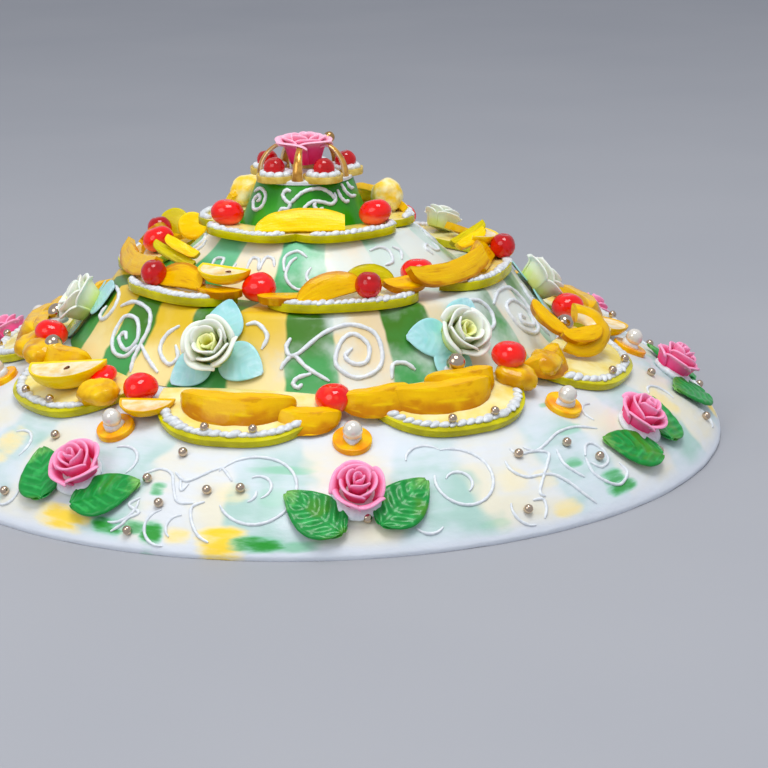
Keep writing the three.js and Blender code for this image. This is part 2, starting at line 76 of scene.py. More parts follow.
# Beads by their radius, and shells of icing and seeds by their length and width
DOME_BEAD, BORDER_BEAD, PEARL, SILVER_BALL, ROSE_PAD, KNOB = 2.8, 2.7, 5.6, 5.7, 14.5, 3.6
SWIRL, LOW_SHELL, MID_SHELL, TOP_SHELL, TRAY_SHELL = (13, 12), (9, 6), (7.6, 5), (7.2, 5), (8.5, 7)
LOW_SEED, MID_SEED = (4.5, 2.2), (4, 2)

# Boats and chunks by their length, width and height, cherries by radius and flatness
PALE_BOAT, SMALL_BOAT, MID_BOAT = (50, 24, 16), (34, 18, 9), (36, 17, 11)
LOW_CHUNK, LEMON_CHUNK = (26, 19, 14), (24, 20, 21)
CHERRY, HALF_CHERRY, SMALL_CHERRY, TRAY_CHERRY = (10.5, 0.8), (9.5, 0.5), (8.2, 1), (6.8, 0.95)

# Discs and trays by their radius and thickness
ORANGE_DISC, OLIVE_DISC, YELLOW_DISC, CROWN_TRAY = (11.2, 5.2), (10.5, 5), (9.6, 5), (12.6, 4.6)

# Slices of peel: length, depth, swell, thickness, radius they are bent to, and how square their outline is
Peel = namedtuple("Peel", "length depth swell thickness bow squareness", defaults=[2.2])
GENTLE_BOW = 300
CURL_SLICE = Peel(28, 10, 1, 5, GENTLE_BOW)
CURL_END = Peel(30, 9, 1, 4, GENTLE_BOW)
STANDING_SLICE = Peel(40, 14, 2, 5, GENTLE_BOW)
LONG_SLICE, LONG_CUT = Peel(74, 12.5, 1.5, 5, 112, 5), 33
BAR = Peel(30, 12, 1, 4.5, 110)
OLIVE_SLICE = Peel(30, 11, 1.5, 4, GENTLE_BOW)
OLIVE_STICK = Peel(30, 6, 0.5, 4, GENTLE_BOW, 4)
LEMON_STICK = Peel(24, 6, 0.5, 4, GENTLE_BOW, 4)
TOP_SLICE, TOP_CUT = Peel(62, 14, 1.5, 4.5, 900), 24


# Working with pieces

def hold(*pieces):
    bpy.ops.object.select_all(action="DESELECT")
    for piece in pieces:
        piece.select_set(True)
    bpy.context.view_layer.objects.active = pieces[0]


def add(operator, **options):
    bpy.ops.object.select_all(action="DESELECT")
    operator(**options)
    return bpy.context.active_object


def sheet(columns, rows):
    """A flat square of faces, 1 mm wide, to be moulded."""
    return add(bpy.ops.mesh.primitive_grid_add, x_subdivisions=columns, y_subdivisions=rows, size=1)


def ball(sides, rings, radius=1.0):
    return add(bpy.ops.mesh.primitive_uv_sphere_add, segments=sides, ring_count=rings, radius=radius)


def coin(sides, radius, thickness, height=0.0):
    """A round slab with its middle at a height."""
    piece = add(bpy.ops.mesh.primitive_cylinder_add, vertices=sides, radius=radius, depth=thickness,
                location=(0, 0, height))
    bpy.ops.object.transform_apply(location=True, rotation=False, scale=False)
    return piece


def ring(sides, section_sides, radius, section_radius):
    return add(bpy.ops.mesh.primitive_torus_add, major_segments=sides, minor_segments=section_sides,
               major_radius=radius, minor_radius=section_radius)


@contextmanager
def faces_of(piece, test=None):
    """Edit mode with all faces selected, or those whose centre and normal pass a test."""
    hold(piece)
    bpy.ops.object.mode_set(mode="EDIT")
    bpy.ops.mesh.select_mode(type="FACE")
    bpy.ops.mesh.select_all(action="DESELECT" if test else "SELECT")
    if test:
        bpy.ops.object.mode_set(mode="OBJECT")
        for face in piece.data.polygons:
            face.select = test(face.center, face.normal)
        bpy.ops.object.mode_set(mode="EDIT")
    yield
    bpy.ops.object.mode_set(mode="OBJECT")


def facing_up(centre, normal):
    return normal.z > 0.9


def sink(rim, depth):
    """In edit mode, sinks the selected faces inside a rim."""
    bpy.ops.mesh.inset(thickness=rim)
    bpy.ops.transform.translate(value=(0, 0, -depth))


def cut(way, at=0.0):
    """In edit mode, cuts off what lies beyond a distance in some way, and closes the cut."""
    bpy.ops.mesh.select_all(action="SELECT")
    bpy.ops.mesh.bisect(plane_co=Vector(way) * at, plane_no=way, use_fill=True, clear_outer=True)


def close_up():
    """In edit mode, fills the holes of a piece and points its faces outwards."""
    bpy.ops.mesh.select_all(action="SELECT")
    bpy.ops.mesh.fill_holes(sides=0)
    bpy.ops.mesh.normals_make_consistent(inside=False)


def modify(piece, kind, **settings):
    hold(piece)
    bpy.ops.object.modifier_add(type=kind)
    modifier = piece.modifiers[-1]
    for name, value in settings.items():
        setattr(modifier, name, value)
    bpy.ops.object.modifier_apply(modifier=modifier.name)


def thicken(piece, thickness, side):
    """Gives a sheet its thickness: above it where side is 1, below it at -1 and half each way at 0."""
    modify(piece, "SOLIDIFY", thickness=thickness, offset=side)


def fill_out(piece):
    modify(piece, "SUBSURF", levels=1, render_levels=1)


def soften(piece, width, segments=2, sharp=50):
    """Rounds the edges that turn by more than a sharp angle."""
    modify(piece, "BEVEL", width=width, segments=segments, limit_method="ANGLE",
           angle_limit=math.radians(sharp))


def roughen(piece, grain, strength):
    """Makes a surface as uneven as hand-made food."""
    lumps = bpy.data.textures.new("lumps", "CLOUDS")
    lumps.noise_scale = grain
    modify(piece, "DISPLACE", texture=lumps, strength=strength, mid_level=0.5, texture_coords="LOCAL")


def mould(piece, rule):
    """Presses every point of a piece to where a rule puts it."""
    for vertex in piece.data.vertices:
        vertex.co = rule(vertex.co)


def lay_out(piece, places):
    """Copies of a piece at each place, without the one they were made from."""
    copies = []
    for place in places:
        twin = piece.copy()
        twin.data = piece.data.copy()
        twin.data.transform(place)
        bpy.context.collection.objects.link(twin)
        copies.append(twin)
    bpy.data.objects.remove(piece)
    return copies


def paint(piece, finish):
    piece.data.materials.clear()
    piece.data.materials.append(finish)


def two_tone(piece, skin, flesh, is_flesh):
    """Paints a piece with its skin, and with flesh where a test of a face's centre and normal says so."""
    piece.data.materials.append(skin)
    piece.data.materials.append(flesh)
    for face in piece.data.polygons:
        face.material_index = int(is_flesh(face.center, face.normal))


def settle(name, parts, nodes, slot, finish=None):
    """Joins parts into one finished piece in metres that stands for some of the solids."""
    hold(*parts)
    if len(parts) > 1:
        bpy.ops.object.join()
    piece = bpy.context.active_object
    piece.name = name
    piece.data.name = name
    piece.data.transform(Matrix.Scale(MM, 4))
    if finish:
        paint(piece, finish)
    bpy.ops.object.shade_smooth_by_angle(angle=math.radians(SMOOTH_ANGLE))
    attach(piece, "root")
    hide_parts(*nodes)


def scatter(name, piece, places, nodes, slot, finish):
    """Settles copies of one piece at many places."""
    settle(name, lay_out(piece, places), nodes, slot, finish)


def numbered(prefix, count):
    return [f"{prefix}_{k + 1}" for k in range(count)]


# Where things lie

def turn(angle, axis="Z"):
    return Matrix.Rotation(math.radians(angle), 4, axis)


def moved(x, y, z):
    return Matrix.Translation((x, y, z))


def lifted(height):
    return moved(0, 0, height)


def around(azimuth, radius, height):
    angle = math.radians(azimuth)
    return Vector((radius * math.sin(angle), -radius * math.cos(angle), height))


def seat(azimuth, radius, height, tilt=0.0, spin=0.0):
    """A place whose x runs to the right, y inwards and z away from the cake."""
    return turn(azimuth) @ moved(0, -radius, height) @ turn(tilt, "X") @ turn(spin)


def propped(azimuth, radius, height, face, lean, slope=0.0):
    """A place where a piece faces some way, leans back and slopes down to its right."""
    foot = Matrix.Translation(around(azimuth, radius, height))
    return foot @ turn(face) @ turn(slope, "Y") @ turn(lean, "X")


def upside_down(place, depth):
    """A place where a slice stands on its straight side, with its round side up."""
    return place @ moved(0, depth, 0) @ turn(180)


def tumbled(places):
    """The same places with each piece turned and tipped as it happened to fall."""
    fallen = []
    for place in places:
        spin = turn(random.uniform(0, 360))
        fallen.append(place @ Matrix.Rotation(random.uniform(-0.35, 0.35), 4, "X") @ spin)
    return fallen


def spread(count, first):
    return [first + 360 * k / count for k in range(count)]


def joints(garland):
    return spread(garland.count, garland.joint)


def middles(garland):
    return spread(garland.count, garland.joint + 180 / garland.count)


def slab_top(garland, ledge):
    return ledge + SLAB_LIFT + garland.thickness


def dome_height(radius):
    share = min(max((radius - DOME_LEDGE) / (DOME_FOOT - DOME_LEDGE), 0), 1)
    return DOME_RIM + (DOME_TOP - DOME_RIM) * (1 - share ** DOME_BULGE) ** DOME_EDGE


def dome_slope(radius):
    return math.degrees(math.atan2(dome_height(radius - 0.5) - dome_height(radius + 0.5), 1))


def on_dome(azimuth, radius, spin=0.0, lift=0.0):
    return seat(azimuth, radius, dome_height(radius), dome_slope(radius), spin) @ lifted(lift)


def wall_radius(tier, up):
    return tier.foot + (tier.top - tier.foot) * min(max(up / tier.height, 0), 1)


def on_wall(tier, azimuth, up, spin=0.0, lift=0.0):
    lean = math.degrees(math.atan2(tier.height, tier.foot - tier.top))
    place = seat(azimuth, wall_radius(tier, up), tier.bottom + up, lean, spin)
    return moved(tier.shift, 0, 0) @ place @ lifted(lift)


TOP_SHIFT = moved(TIER_4.shift, 0, 0)
SLAB_2_TOP = slab_top(GARLAND_2, TIER_3.bottom)
SLAB_3_TOP = slab_top(GARLAND_3, TIER_4.bottom)

# The dome's surface measured along its slope from the ledge
DOME_STEPS = 160
DOME_RADII = [DOME_LEDGE + (DOME_FOOT - DOME_LEDGE) * k / DOME_STEPS for k in range(DOME_STEPS + 1)]
DOME_RUN = [0.0]
for inner, outer in zip(DOME_RADII, DOME_RADII[1:]):
    DOME_RUN.append(DOME_RUN[-1] + math.hypot(outer - inner, dome_height(outer) - dome_height(inner)))


def dome_run(radius):
    share = (radius - DOME_LEDGE) / (DOME_FOOT - DOME_LEDGE) * DOME_STEPS
    k = min(int(share), DOME_STEPS - 1)
    return DOME_RUN[k] + (DOME_RUN[k + 1] - DOME_RUN[k]) * (share - k)


def dome_radius(run):
    for k in range(DOME_STEPS):
        if DOME_RUN[k + 1] >= run:
            share = (run - DOME_RUN[k]) / (DOME_RUN[k + 1] - DOME_RUN[k])
            return DOME_RADII[k] + (DOME_RADII[k + 1] - DOME_RADII[k]) * share
    return DOME_FOOT


# Finishes

def worked_out(operation):
    """An operator of Shade that adds a Math node."""
    return lambda *values: values[0].maths(operation, *values)


class Shade:
    """A value in a finish. Its operators add the Math nodes that work it out."""

    def __init__(self, finish, socket):
        self.finish = finish
        self.socket = socket

    def maths(self, operation, *values):
        return self.finish.node("ShaderNodeMath", {"operation": operation}, dict(enumerate(values)))

    def __rsub__(self, other):
        return self.maths("SUBTRACT", other, self)

    __add__ = __radd__ = worked_out("ADD")
    __sub__ = worked_out("SUBTRACT")
    __mul__ = __rmul__ = worked_out("MULTIPLY")
    __truediv__ = worked_out("DIVIDE")
    __pow__ = worked_out("POWER")
    most = worked_out("MAXIMUM")
    cosine = worked_out("COSINE")
    size = worked_out("ABSOLUTE")
    nearest = worked_out("ROUND")


def light_of(part):
    """How much light a colour's screen value, from 0 to 255, stands for."""
    return ((part / 255 + 0.055) / 1.055) ** 2.4 if part > 10 else part / 3295


class Finish:
    """A material made of nodes. Its colours are given by their screen values."""

    SOCKETS = {"colour": "Base Color", "roughness": "Roughness", "metal": "Metallic",
               "specular": "Specular IOR Level", "coat": "Coat Weight", "coat_roughness": "Coat Roughness",
               "glow": "Subsurface Weight", "reach": "Subsurface Scale", "tint": "Subsurface Radius",
               "normal": "Normal"}

    def __init__(self, name):
        self.material = bpy.data.materials.new(name)
        self.material.use_nodes = True
        tree = self.material.node_tree
        self.nodes = tree.nodes
        self.links = tree.links
        self.shader = next(node for node in tree.nodes if node.type == "BSDF_PRINCIPLED")

    def feed(self, socket, value):
        if isinstance(value, Shade):
            self.links.new(value.socket, socket)
        elif socket.type == "RGBA":
            socket.default_value = (*map(light_of, value), 1.0)
        else:
            socket.default_value = value

    def node(self, kind, settings=None, inputs=None, output=0):
        made = self.nodes.new(kind)
        for name, value in (settings or {}).items():
            setattr(made, name, value)
        for name, value in (inputs or {}).items():
            self.feed(made.inputs[name], value)
        return Shade(self, made.outputs[output])

    def set(self, **values):
        for name, value in values.items():
            self.feed(self.shader.inputs[self.SOCKETS[name]], value)

    def blend(self, share, first, second):
        inputs = {0: share, 6: first, 7: second}
        return self.node("ShaderNodeMix", {"data_type": "RGBA"}, inputs, output=2)

    def step(self, value, low, high):
        """Rises smoothly from 0 at low to 1 at high."""
        inputs = {"Value": value, "From Min": low, "From Max": high}
        return self.node("ShaderNodeMapRange", {"interpolation_type": "SMOOTHSTEP"}, inputs)

    def place(self, output="Object"):
        return self.node("ShaderNodeTexCoord", output=output)

    def parts(self, vector):
        return [self.node("ShaderNodeSeparateXYZ", None, {0: vector}, output) for output in range(3)]

    def joined(self, x, y, z):
        return self.node("ShaderNodeCombineXYZ", None, {0: x, 1: y, 2: z})

    def polar(self):
        """Azimuth in degrees, radius and height in millimetres."""
        x, y, z = self.parts(self.place())
        azimuth = x.maths("ARCTAN2", x, 0 - y)
        radius = (x * x + y * y) ** 0.5
        return azimuth * (180 / math.pi), radius / MM, z / MM

    def noise(self, grain, detail=2.0, stretch=(1, 1, 1), vector=None):
        """Cloudy noise about 0.5, whose lumps are as large as grain, in millimetres."""
        scale = [1 / (MM * grain * part) for part in stretch]
        place = self.node("ShaderNodeMapping", None, {"Vector": vector or self.place(), "Scale": scale})
        return self.node("ShaderNodeTexNoise", None, {"Vector": place, "Scale": 1.0, "Detail": detail})

    def bump(self, height, strength, depth):
        inputs = {"Height": height, "Strength": strength, "Distance": depth * MM}
        self.set(normal=self.node("ShaderNodeBump", None, inputs))

    def translucent(self, weight, reach, tint):
        """Lets light in under the surface, as sugar and fruit do."""
        self.set(glow=weight, reach=reach * MM, tint=tint)


BLACK = (0, 0, 0)
WHITE_ICING = (232, 237, 240)
DOME_WHITE = (220, 226, 234)
PALE_GREEN = (166, 202, 190)
CREAM = (230, 224, 200)
MILK = (224, 234, 230)
BEIGE = (232, 216, 192)
STRONG_GREEN = (16, 150, 30)
SOFT_GREEN = (124, 200, 158)
SOFT_YELLOW = (250, 228, 150)
STRONG_YELLOW = (252, 212, 30)
# Pale cream for the painted highlight along the edges of the gilded strips
PAINTED_EDGE_HIGHLIGHT = (244, 226, 180)

# Where the dome's glaze is thin and marzipan shows: azimuth, radius, half sizes, strength
YELLOW_MARKS = [(-34, 255.5, 4.5, 5, 0.9), (-17.5, 256.5, 1.8, 4, 0.7), (-12, 257, 3.4, 5.5, 1),
                (-11.6, 236, 2.4, 6, 0.45), (27, 238, 2.6, 7, 0.4), (32, 242, 1.8, 5, 0.4),
                (33, 256, 2.4, 4, 0.6), (-52, 230, 3, 13, 0.6), (4, 256, 6, 4, 0.25)]
GREEN_MARKS = [(-27, 256, 2.6, 3.5, 1), (-23.7, 255, 2.2, 3, 0.9), (-21, 256.5, 1.6, 5, 1),
               (-22, 236, 1.2, 3.5, 0.8), (-7.4, 258, 3.6, 3, 1), (-4, 259, 4.6, 2, 0.6),
               (-5.4, 221.5, 5.5, 2.8, 0.55), (-5.8, 238, 2.4, 6, 0.4), (42, 218.5, 2.8, 3.5, 0.5),
               (38, 237, 1.6, 3, 0.7), (42.5, 250, 2.2, 4, 0.8), (43, 255, 2.8, 3, 0.9),
               (42.7, 197.5, 1.6, 2, 0.6), (22, 258, 2.6, 3, 0.35)]
DOME_MARKS = ((YELLOW_MARKS, SOFT_YELLOW, STRONG_YELLOW), (GREEN_MARKS, SOFT_GREEN, STRONG_GREEN))
DOME_SECTORS = 16


def dome_glaze():
    """White glaze over marzipan in faint green and cream sectors, brushed round, with bare marks."""
    paste = Finish("dome_glaze")
    azimuth, radius, height = paste.polar()
    wobble = paste.noise(30) - 0.5
    sector = ((azimuth + wobble * 9 + 6.5) * math.radians(DOME_SECTORS)).cosine()
    tint = paste.blend(paste.step(sector, -0.25, 0.35), CREAM, PALE_GREEN)
    brush = paste.noise(6, 4, vector=paste.joined(azimuth * 0.0012, radius * MM, height * MM))
    thin = paste.step(paste.noise(44, 3) * 0.75 + brush * 0.25, 0.36, 0.62)
    band = paste.step(radius, 192, 222) * paste.step(height, 3, 12)
    colour = paste.blend(thin * band * 0.75 + band * 0.2, DOME_WHITE, tint)
    third = azimuth - (azimuth / 120).nearest() * 120
    ragged = (brush - 0.5) * 3.0
    for marks, soft, strong in DOME_MARKS:
        mask = None
        for mark_azimuth, mark_radius, half_turn, half_width, strength in marks:
            aside = (third - mark_azimuth) / half_turn
            along = (radius - mark_radius) / half_width
            spot = paste.step(aside.size() ** 3 + along.size() ** 3 + ragged, 1.7, -0.3) * strength
            mask = spot if mask is None else mask.most(spot)
        colour = paste.blend(paste.step(mask, 0.02, 0.8) * 0.85, colour, soft)
        colour = paste.blend(paste.step(mask, 0.5, 1.0), colour, strong)
    paste.set(colour=colour, roughness=0.3 + 0.2 * brush, specular=0.35, coat=0.15, coat_roughness=0.12)
    paste.translucent(0.1, 4, (1.0, 0.9, 0.75))
    paste.bump(paste.noise(11, 4, (1, 1, 0.5)) + 0.5 * brush, 0.4, 1.2)
    return paste.material


def striped_marzipan(name, count, centre, greens, yellows, foot, top, veil, painted_light_paling):
    """Upright stripes of green and yellow marzipan, each deeper at the top, under a milk-white glaze.

    Towards the cake's right side the glaze is painted whiter and the yellow paler, as painted light from the
    right. The glaze also varies from stripe to stripe.
    """
    paste = Finish(name)
    azimuth, radius, height = paste.polar()
    wobble = paste.noise(26) - 0.5
    stripe = ((azimuth + wobble * 5 - centre) * math.radians(count)).cosine()
    up = paste.step(height, foot, top)
    cloud = paste.noise(24, 4)
    deep = paste.step(up + (cloud - 0.5) * 1.3, 0.1, 0.95)
    # Painted light: how far round towards the right side, where the stripes are painted paler as if lit from
    # the right
    right = ((azimuth - 70) * math.radians(1)).cosine()
    green = paste.blend(deep, *greens)
    yellow = paste.blend(deep, *yellows)
    yellow = paste.blend(paste.step(right + (cloud - 0.5) * 0.8, 0.0, 0.6) * painted_light_paling, yellow, BEIGE)
    colour = paste.blend(paste.step(stripe, -0.12, 0.12), yellow, green)
    patch = paste.noise(34, 1, (1, 1, 40)) - 0.5
    # Whiter where the glaze clouds, and more towards the right side as painted light
    glaze_and_painted_light = paste.step(cloud + patch * 0.9 + right * 0.34 + veil, 0.48, 0.9)
    colour = paste.blend(glaze_and_painted_light * 0.85, colour, MILK)
    paste.set(colour=colour, roughness=0.24 + 0.15 * paste.noise(8, 3), specular=0.3, coat=0.2,
              coat_roughness=0.06)
    paste.translucent(0.03, 3, (1.0, 0.9, 0.5))
    paste.bump(paste.noise(14, 3), 0.3, 1.0)
    return paste.material


def fruit(name, deep, bright, glow, grain=9.0, roughness=0.1, pores=0.0):
    """Candied fruit: cloudy, wet and lit from within."""
    flesh = Finish(name)
    cloud = flesh.step(flesh.noise(grain, 3), 0.3, 0.7)
    flesh.set(colour=flesh.blend(cloud, deep, bright), roughness=roughness + 0.1 * flesh.noise(4, 2),
              specular=0.2, coat=0.15, coat_roughness=0.04)
    flesh.translucent(glow, 4, (1.0, 0.8, 0.4))
    relief = flesh.noise(grain, 3)
    if pores:
        relief = relief + pores * flesh.noise(1.6, 1)
    flesh.bump(relief, 0.3, 1.0)
    return flesh.material


def citron(name, rims, tops):
    """Candied citron: a pale sugared face, and a clear lime rim that shows outside the border."""
    flesh = Finish(name)
    upright = flesh.parts(flesh.place("Normal"))[2]
    inwards = flesh.parts(flesh.place("UV"))[1]
    cloud = flesh.step(flesh.noise(18, 3), 0.32, 0.68)
    face = flesh.step(upright, 0.6, 0.95) * flesh.step(inwards + cloud * 0.03, 0.1, 0.17)
    rim = flesh.blend(cloud, *rims)
    top = flesh.blend(cloud, *tops)
    flesh.set(colour=flesh.blend(face, rim, top), roughness=0.14 + 0.1 * flesh.noise(5, 2), specular=0.2,
              coat=0.15, coat_roughness=0.05)
    flesh.translucent(0.1, 4, (1.0, 0.9, 0.3))
    flesh.bump(flesh.noise(8, 3), 0.35, 1.2)
    return flesh.material


def rind(name, low, face, edge):
    """Candied rind: darker along its outer foot, streaked lengthways with sugar and pitted all over."""
    peel = Finish(name)
    across, along, _ = peel.parts(peel.place("UV"))
    cloud = peel.noise(14, 4) - 0.5
    streak = peel.noise(5, 4, vector=peel.joined(across * 0.02, along * 0.05, cloud * 0.004))
    colour = peel.blend(peel.step(along + cloud * 0.5, 0.0, 0.24), low, face)
    colour = peel.blend(peel.step(streak, 0.5, 0.72) * 0.7, colour, edge)
    colour = peel.blend(peel.step(streak + cloud * 0.4, 0.42, 0.28) * 0.6, colour, low)
    peel.set(colour=colour, roughness=0.12 + 0.16 * streak, specular=0.12, coat=0.1, coat_roughness=0.04)
    peel.translucent(0.06, 3, (1.0, 0.7, 0.1))
    peel.bump(peel.noise(9, 3) + 0.5 * streak + 0.25 * peel.noise(1.5, 1), 0.4, 1.2)
    return peel.material


def cherry_skin(name, deep, bright, clear):
    """A cherry in syrup, very glossy: deep red on top, paler and clearer below as painted light shining
    through, with pale patches of painted sheen.
    """
    skin = Finish(name)
    upright = skin.parts(skin.place("Normal"))[2]
    cloud = skin.noise(9, 3) - 0.5
    # Painted light: paler and clearer below, where light would shine through the cherry
    colour = skin.blend(skin.step(upright + cloud * 1.6, -0.9, 0.1), clear, bright)
    colour = skin.blend(skin.step(upright + cloud * 2.2, 0.0, 0.9), colour, deep)
    # Painted sheen: pale patches that stand in for reflections
    colour = skin.blend(skin.step(skin.noise(11, 2), 0.6, 0.74) * 0.35, colour, clear)
    skin.set(colour=colour, roughness=0.04 + 0.06 * skin.noise(4, 2), specular=0.35, coat=0.35,
             coat_roughness=0.03)
    skin.translucent(0.08, 4, (1.0, 0.3, 0.1))
    skin.bump(skin.noise(9, 2), 0.25, 1.0)
    return skin.material


def icing(name, colour, shadow):
    """Piped sugar icing, greyed a little in cloudy patches as painted shade."""
    sugar = Finish(name)
    sugar.set(colour=sugar.blend(sugar.step(sugar.noise(3, 2), 0.3, 0.7), shadow, colour),
              roughness=0.35 + 0.1 * sugar.noise(2, 2), coat=0.2, coat_roughness=0.15)
    sugar.translucent(0.15, 2, (1.0, 0.95, 0.9))
    sugar.bump(sugar.noise(1.5, 2), 0.15, 0.4)
    return sugar.material


def dragee(name, colour, metal, roughness):
    """The coat of a sugar bead, a little dull in patches."""
    shell = Finish(name)
    dull = 0.2 * (1 - shell.noise(2, 2))
    shell.set(colour=shell.blend(dull, colour, BLACK), metal=metal, coat=0.3,
              roughness=roughness + 0.08 * shell.noise(1.2, 1))
    shell.bump(shell.noise(1.5, 2), 0.08, 0.2)
    return shell.material


def petals(name, base, middle, rim):
    """Sugar petals: deep at their foot and pale along their rim."""
    paste = Finish(name)
    along = paste.parts(paste.place("UV"))[1]
    wash = along + (paste.noise(5, 3) - 0.5) * 0.35
    colour = paste.blend(paste.step(wash, 0.1, 0.55), base, middle)
    colour = paste.blend(paste.step(wash, 0.5, 0.95), colour, rim)
    paste.set(colour=colour, roughness=0.45 + 0.15 * paste.noise(3, 2), specular=0.25, coat=0.08)
    paste.translucent(0.25, 3, (1.0, 0.7, 0.75))
    paste.bump(paste.noise(2.2, 3), 0.2, 0.5)
    return paste.material


def leaf_paste(name, deep, bright, tip, patch, contrast):
    """Leaf paste: deep between the veins and paler on their ridges, as painted shade and painted highlight,
    paler at the tip, and brushed with patches of colour.
    """
    paste = Finish(name)
    across, along, _ = paste.parts(paste.place("UV"))
    aside = (across - 0.5).size()
    veins = ((along - aside * 0.55) * (2 * math.pi * LEAF_VEINS)).cosine()
    worn = paste.noise(6, 3)
    # Painted shade between the veins and painted highlight on their ridges, over the leaf's moulded relief
    painted_ridge_highlight = paste.step(veins + (worn - 0.5) * 1.6, 0.3, 1.1) * paste.step(aside, 0.44, 0.3)
    colour = paste.blend(painted_ridge_highlight * contrast, deep, bright)
    colour = paste.blend(paste.step(worn, 0.5, 0.75) * 0.5, colour, bright)
    colour = paste.blend(paste.step(along + (worn - 0.5) * 0.5, 0.75, 1.05) * 0.6, colour, tip)
    colour = paste.blend(paste.step(paste.noise(17, 2), 0.5, 0.68) * 0.6, colour, patch)
    paste.set(colour=colour, roughness=0.26 + 0.15 * paste.noise(3, 2), specular=0.3, coat=0.25,
              coat_roughness=0.08)
    paste.translucent(0.1, 2, (0.4, 1.0, 0.4))
    paste.bump(paste.noise(2.5, 3), 0.15, 0.5)
    return paste.material


def gold_peel(name, deep, bright):
    """Strips of gilded peel with a painted highlight, pale along their edges and at the tip."""
    peel = Finish(name)
    across, along, _ = peel.parts(peel.place("UV"))
    # Painted highlight: pale along both edges and at the tip
    edge = peel.step((across - 0.5).size(), 0.34, 0.48).most(peel.step(along, 0.85, 1.0))
    amber = peel.blend(peel.step(peel.noise(6, 2), 0.3, 0.7), deep, bright)
    peel.set(colour=peel.blend(edge * 0.85, amber, PAINTED_EDGE_HIGHLIGHT), metal=0.6, coat=0.5,
             roughness=0.16 + 0.1 * peel.noise(3, 2))
    peel.bump(peel.noise(4, 3), 0.25, 0.6)
    return peel.material


glaze = dome_glaze()
tier_2_finish = striped_marzipan("tier_2_marzipan", 14, -1, ((66, 160, 80), (64, 122, 16)),
                                 ((248, 228, 156), (228, 190, 30)), 64, 100, -0.09, 0.75)
tier_3_finish = striped_marzipan("tier_3_marzipan", 8, -5.5, ((44, 164, 76), (116, 196, 150)),
                                 ((246, 224, 168), (242, 232, 208)), 105, 130, 0.08, 0.4)
tier_4_finish = striped_marzipan("tier_4_marzipan", 3, 30, ((48, 156, 0), (30, 132, 0)),
                                 ((64, 170, 40), (36, 142, 0)), 134, 161, -0.6, 0)
citron_finish = citron("candied_citron", ((176, 168, 0), (214, 206, 0)), ((238, 212, 90), (244, 235, 176)))
peel_finish = rind("candied_peel", (200, 126, 0), (236, 182, 0), (248, 210, 0))
lemon_finish = rind("lemon_peel", (244, 190, 0), (255, 216, 0), (255, 234, 80))
olive_finish = rind("olive_peel", (160, 146, 0), (212, 196, 0), (236, 222, 60))
amber_finish = fruit("amber_peel", (210, 146, 0), (250, 204, 14), 0.06, grain=12, pores=0.2)
flesh_finish = fruit("candied_flesh", (244, 206, 120), (250, 234, 196), 0.15, grain=7)
chunk_finish = fruit("sugared_lemon", (250, 206, 30), (253, 242, 186), 0.1, grain=7, roughness=0.35,
                     pores=0.6)
cherry_finish = cherry_skin("candied_cherry", (238, 0, 0), (255, 26, 0), (255, 104, 60))
dark_cherry_finish = cherry_skin("syrup_cherry", (176, 0, 0), (212, 0, 6), (226, 14, 24))
icing_finish = icing("white_icing", WHITE_ICING, (214, 220, 226))
# Border icing is the same white icing painted a little greyer, as painted shade
border_finish = icing("border_icing", (230, 234, 234), (204, 210, 214))
gold_finish = dragee("gold_bead", (206, 160, 96), 1.0, 0.12)
# The silver dragees are tinted beige-brown as a painted reflection of brown surroundings that the metal
# would mirror
silver_finish = dragee("silver_dragee", (212, 190, 166), 1.0, 0.1)
pearl_finish = dragee("pearl_dragee", (246, 240, 228), 0.3, 0.14)
disc_finish = fruit("candied_orange_disc", (244, 148, 0), (255, 200, 8), 0.1, grain=10)
seed_finish = fruit("brown_seeds", (70, 30, 6), (130, 70, 16), 0.0, grain=2)
rose_finish = petals("rose_petals", (255, 36, 116), (255, 96, 158), (255, 164, 200))
crown_rose_finish = petals("crown_rose_petals", (255, 20, 100), (255, 70, 136), (255, 186, 208))
wafer_finish = petals("wafer_petals", (220, 228, 130), (230, 238, 200), (238, 242, 230))
heart_finish = petals("wafer_hearts", (212, 204, 40), (232, 228, 96), (242, 244, 170))
leaf_finish = leaf_paste("green_leaves", (0, 140, 52), (56, 188, 92), (160, 210, 110), (84, 144, 0), 0.45)
wafer_leaf_finish = leaf_paste("blue_wafer_leaves", (166, 222, 224), (194, 234, 238), (206, 236, 246),
                               (122, 204, 202), 0.3)
tray_finish = fruit("crown_trays", (206, 170, 56), (240, 216, 120), 0.1, grain=8, roughness=0.2)
strip_finish = gold_peel("crown_strips", (176, 112, 20), (236, 176, 70))


# Bodies of the tiers

def turned(profile, sides):
    """A round body drawn up ring by ring from its foot, as on a potter's wheel."""
    (radius, height), *rings = profile
    piece = add(bpy.ops.mesh.primitive_circle_add, vertices=sides, radius=radius, fill_type="NGON",
                location=(0, 0, height))
    bpy.ops.object.transform_apply(location=True, rotation=False, scale=False)
    with faces_of(piece):
        for next_radius, next_height in rings:
            rise = (0, 0, next_height - height)
            bpy.ops.mesh.extrude_region_move(TRANSFORM_OT_translate={"value": rise})
            share = next_radius / radius
            bpy.ops.transform.resize(value=(share, share, 1), center_override=(0, 0, next_height))
            radius, height = next_radius, next_height
        bpy.ops.mesh.select_all(action="SELECT")
        bpy.ops.mesh.normals_make_consistent(inside=False)
    return piece


def dome_body():
    rings, sides, crowding = 34, 240, 1.6
    profile = [(DOME_FOOT - 0.6, 0)]
    for row in range(rings + 1):
        radius = DOME_LEDGE + (DOME_FOOT - DOME_LEDGE) * (1 - (row / rings) ** crowding)
        profile.append((radius, dome_height(radius)))
    body = turned(profile, sides)
    roughen(body, 16, 1.0)
    mould(body, lambda point: Vector((point.x, point.y, max(point.z, 0))))
    return body


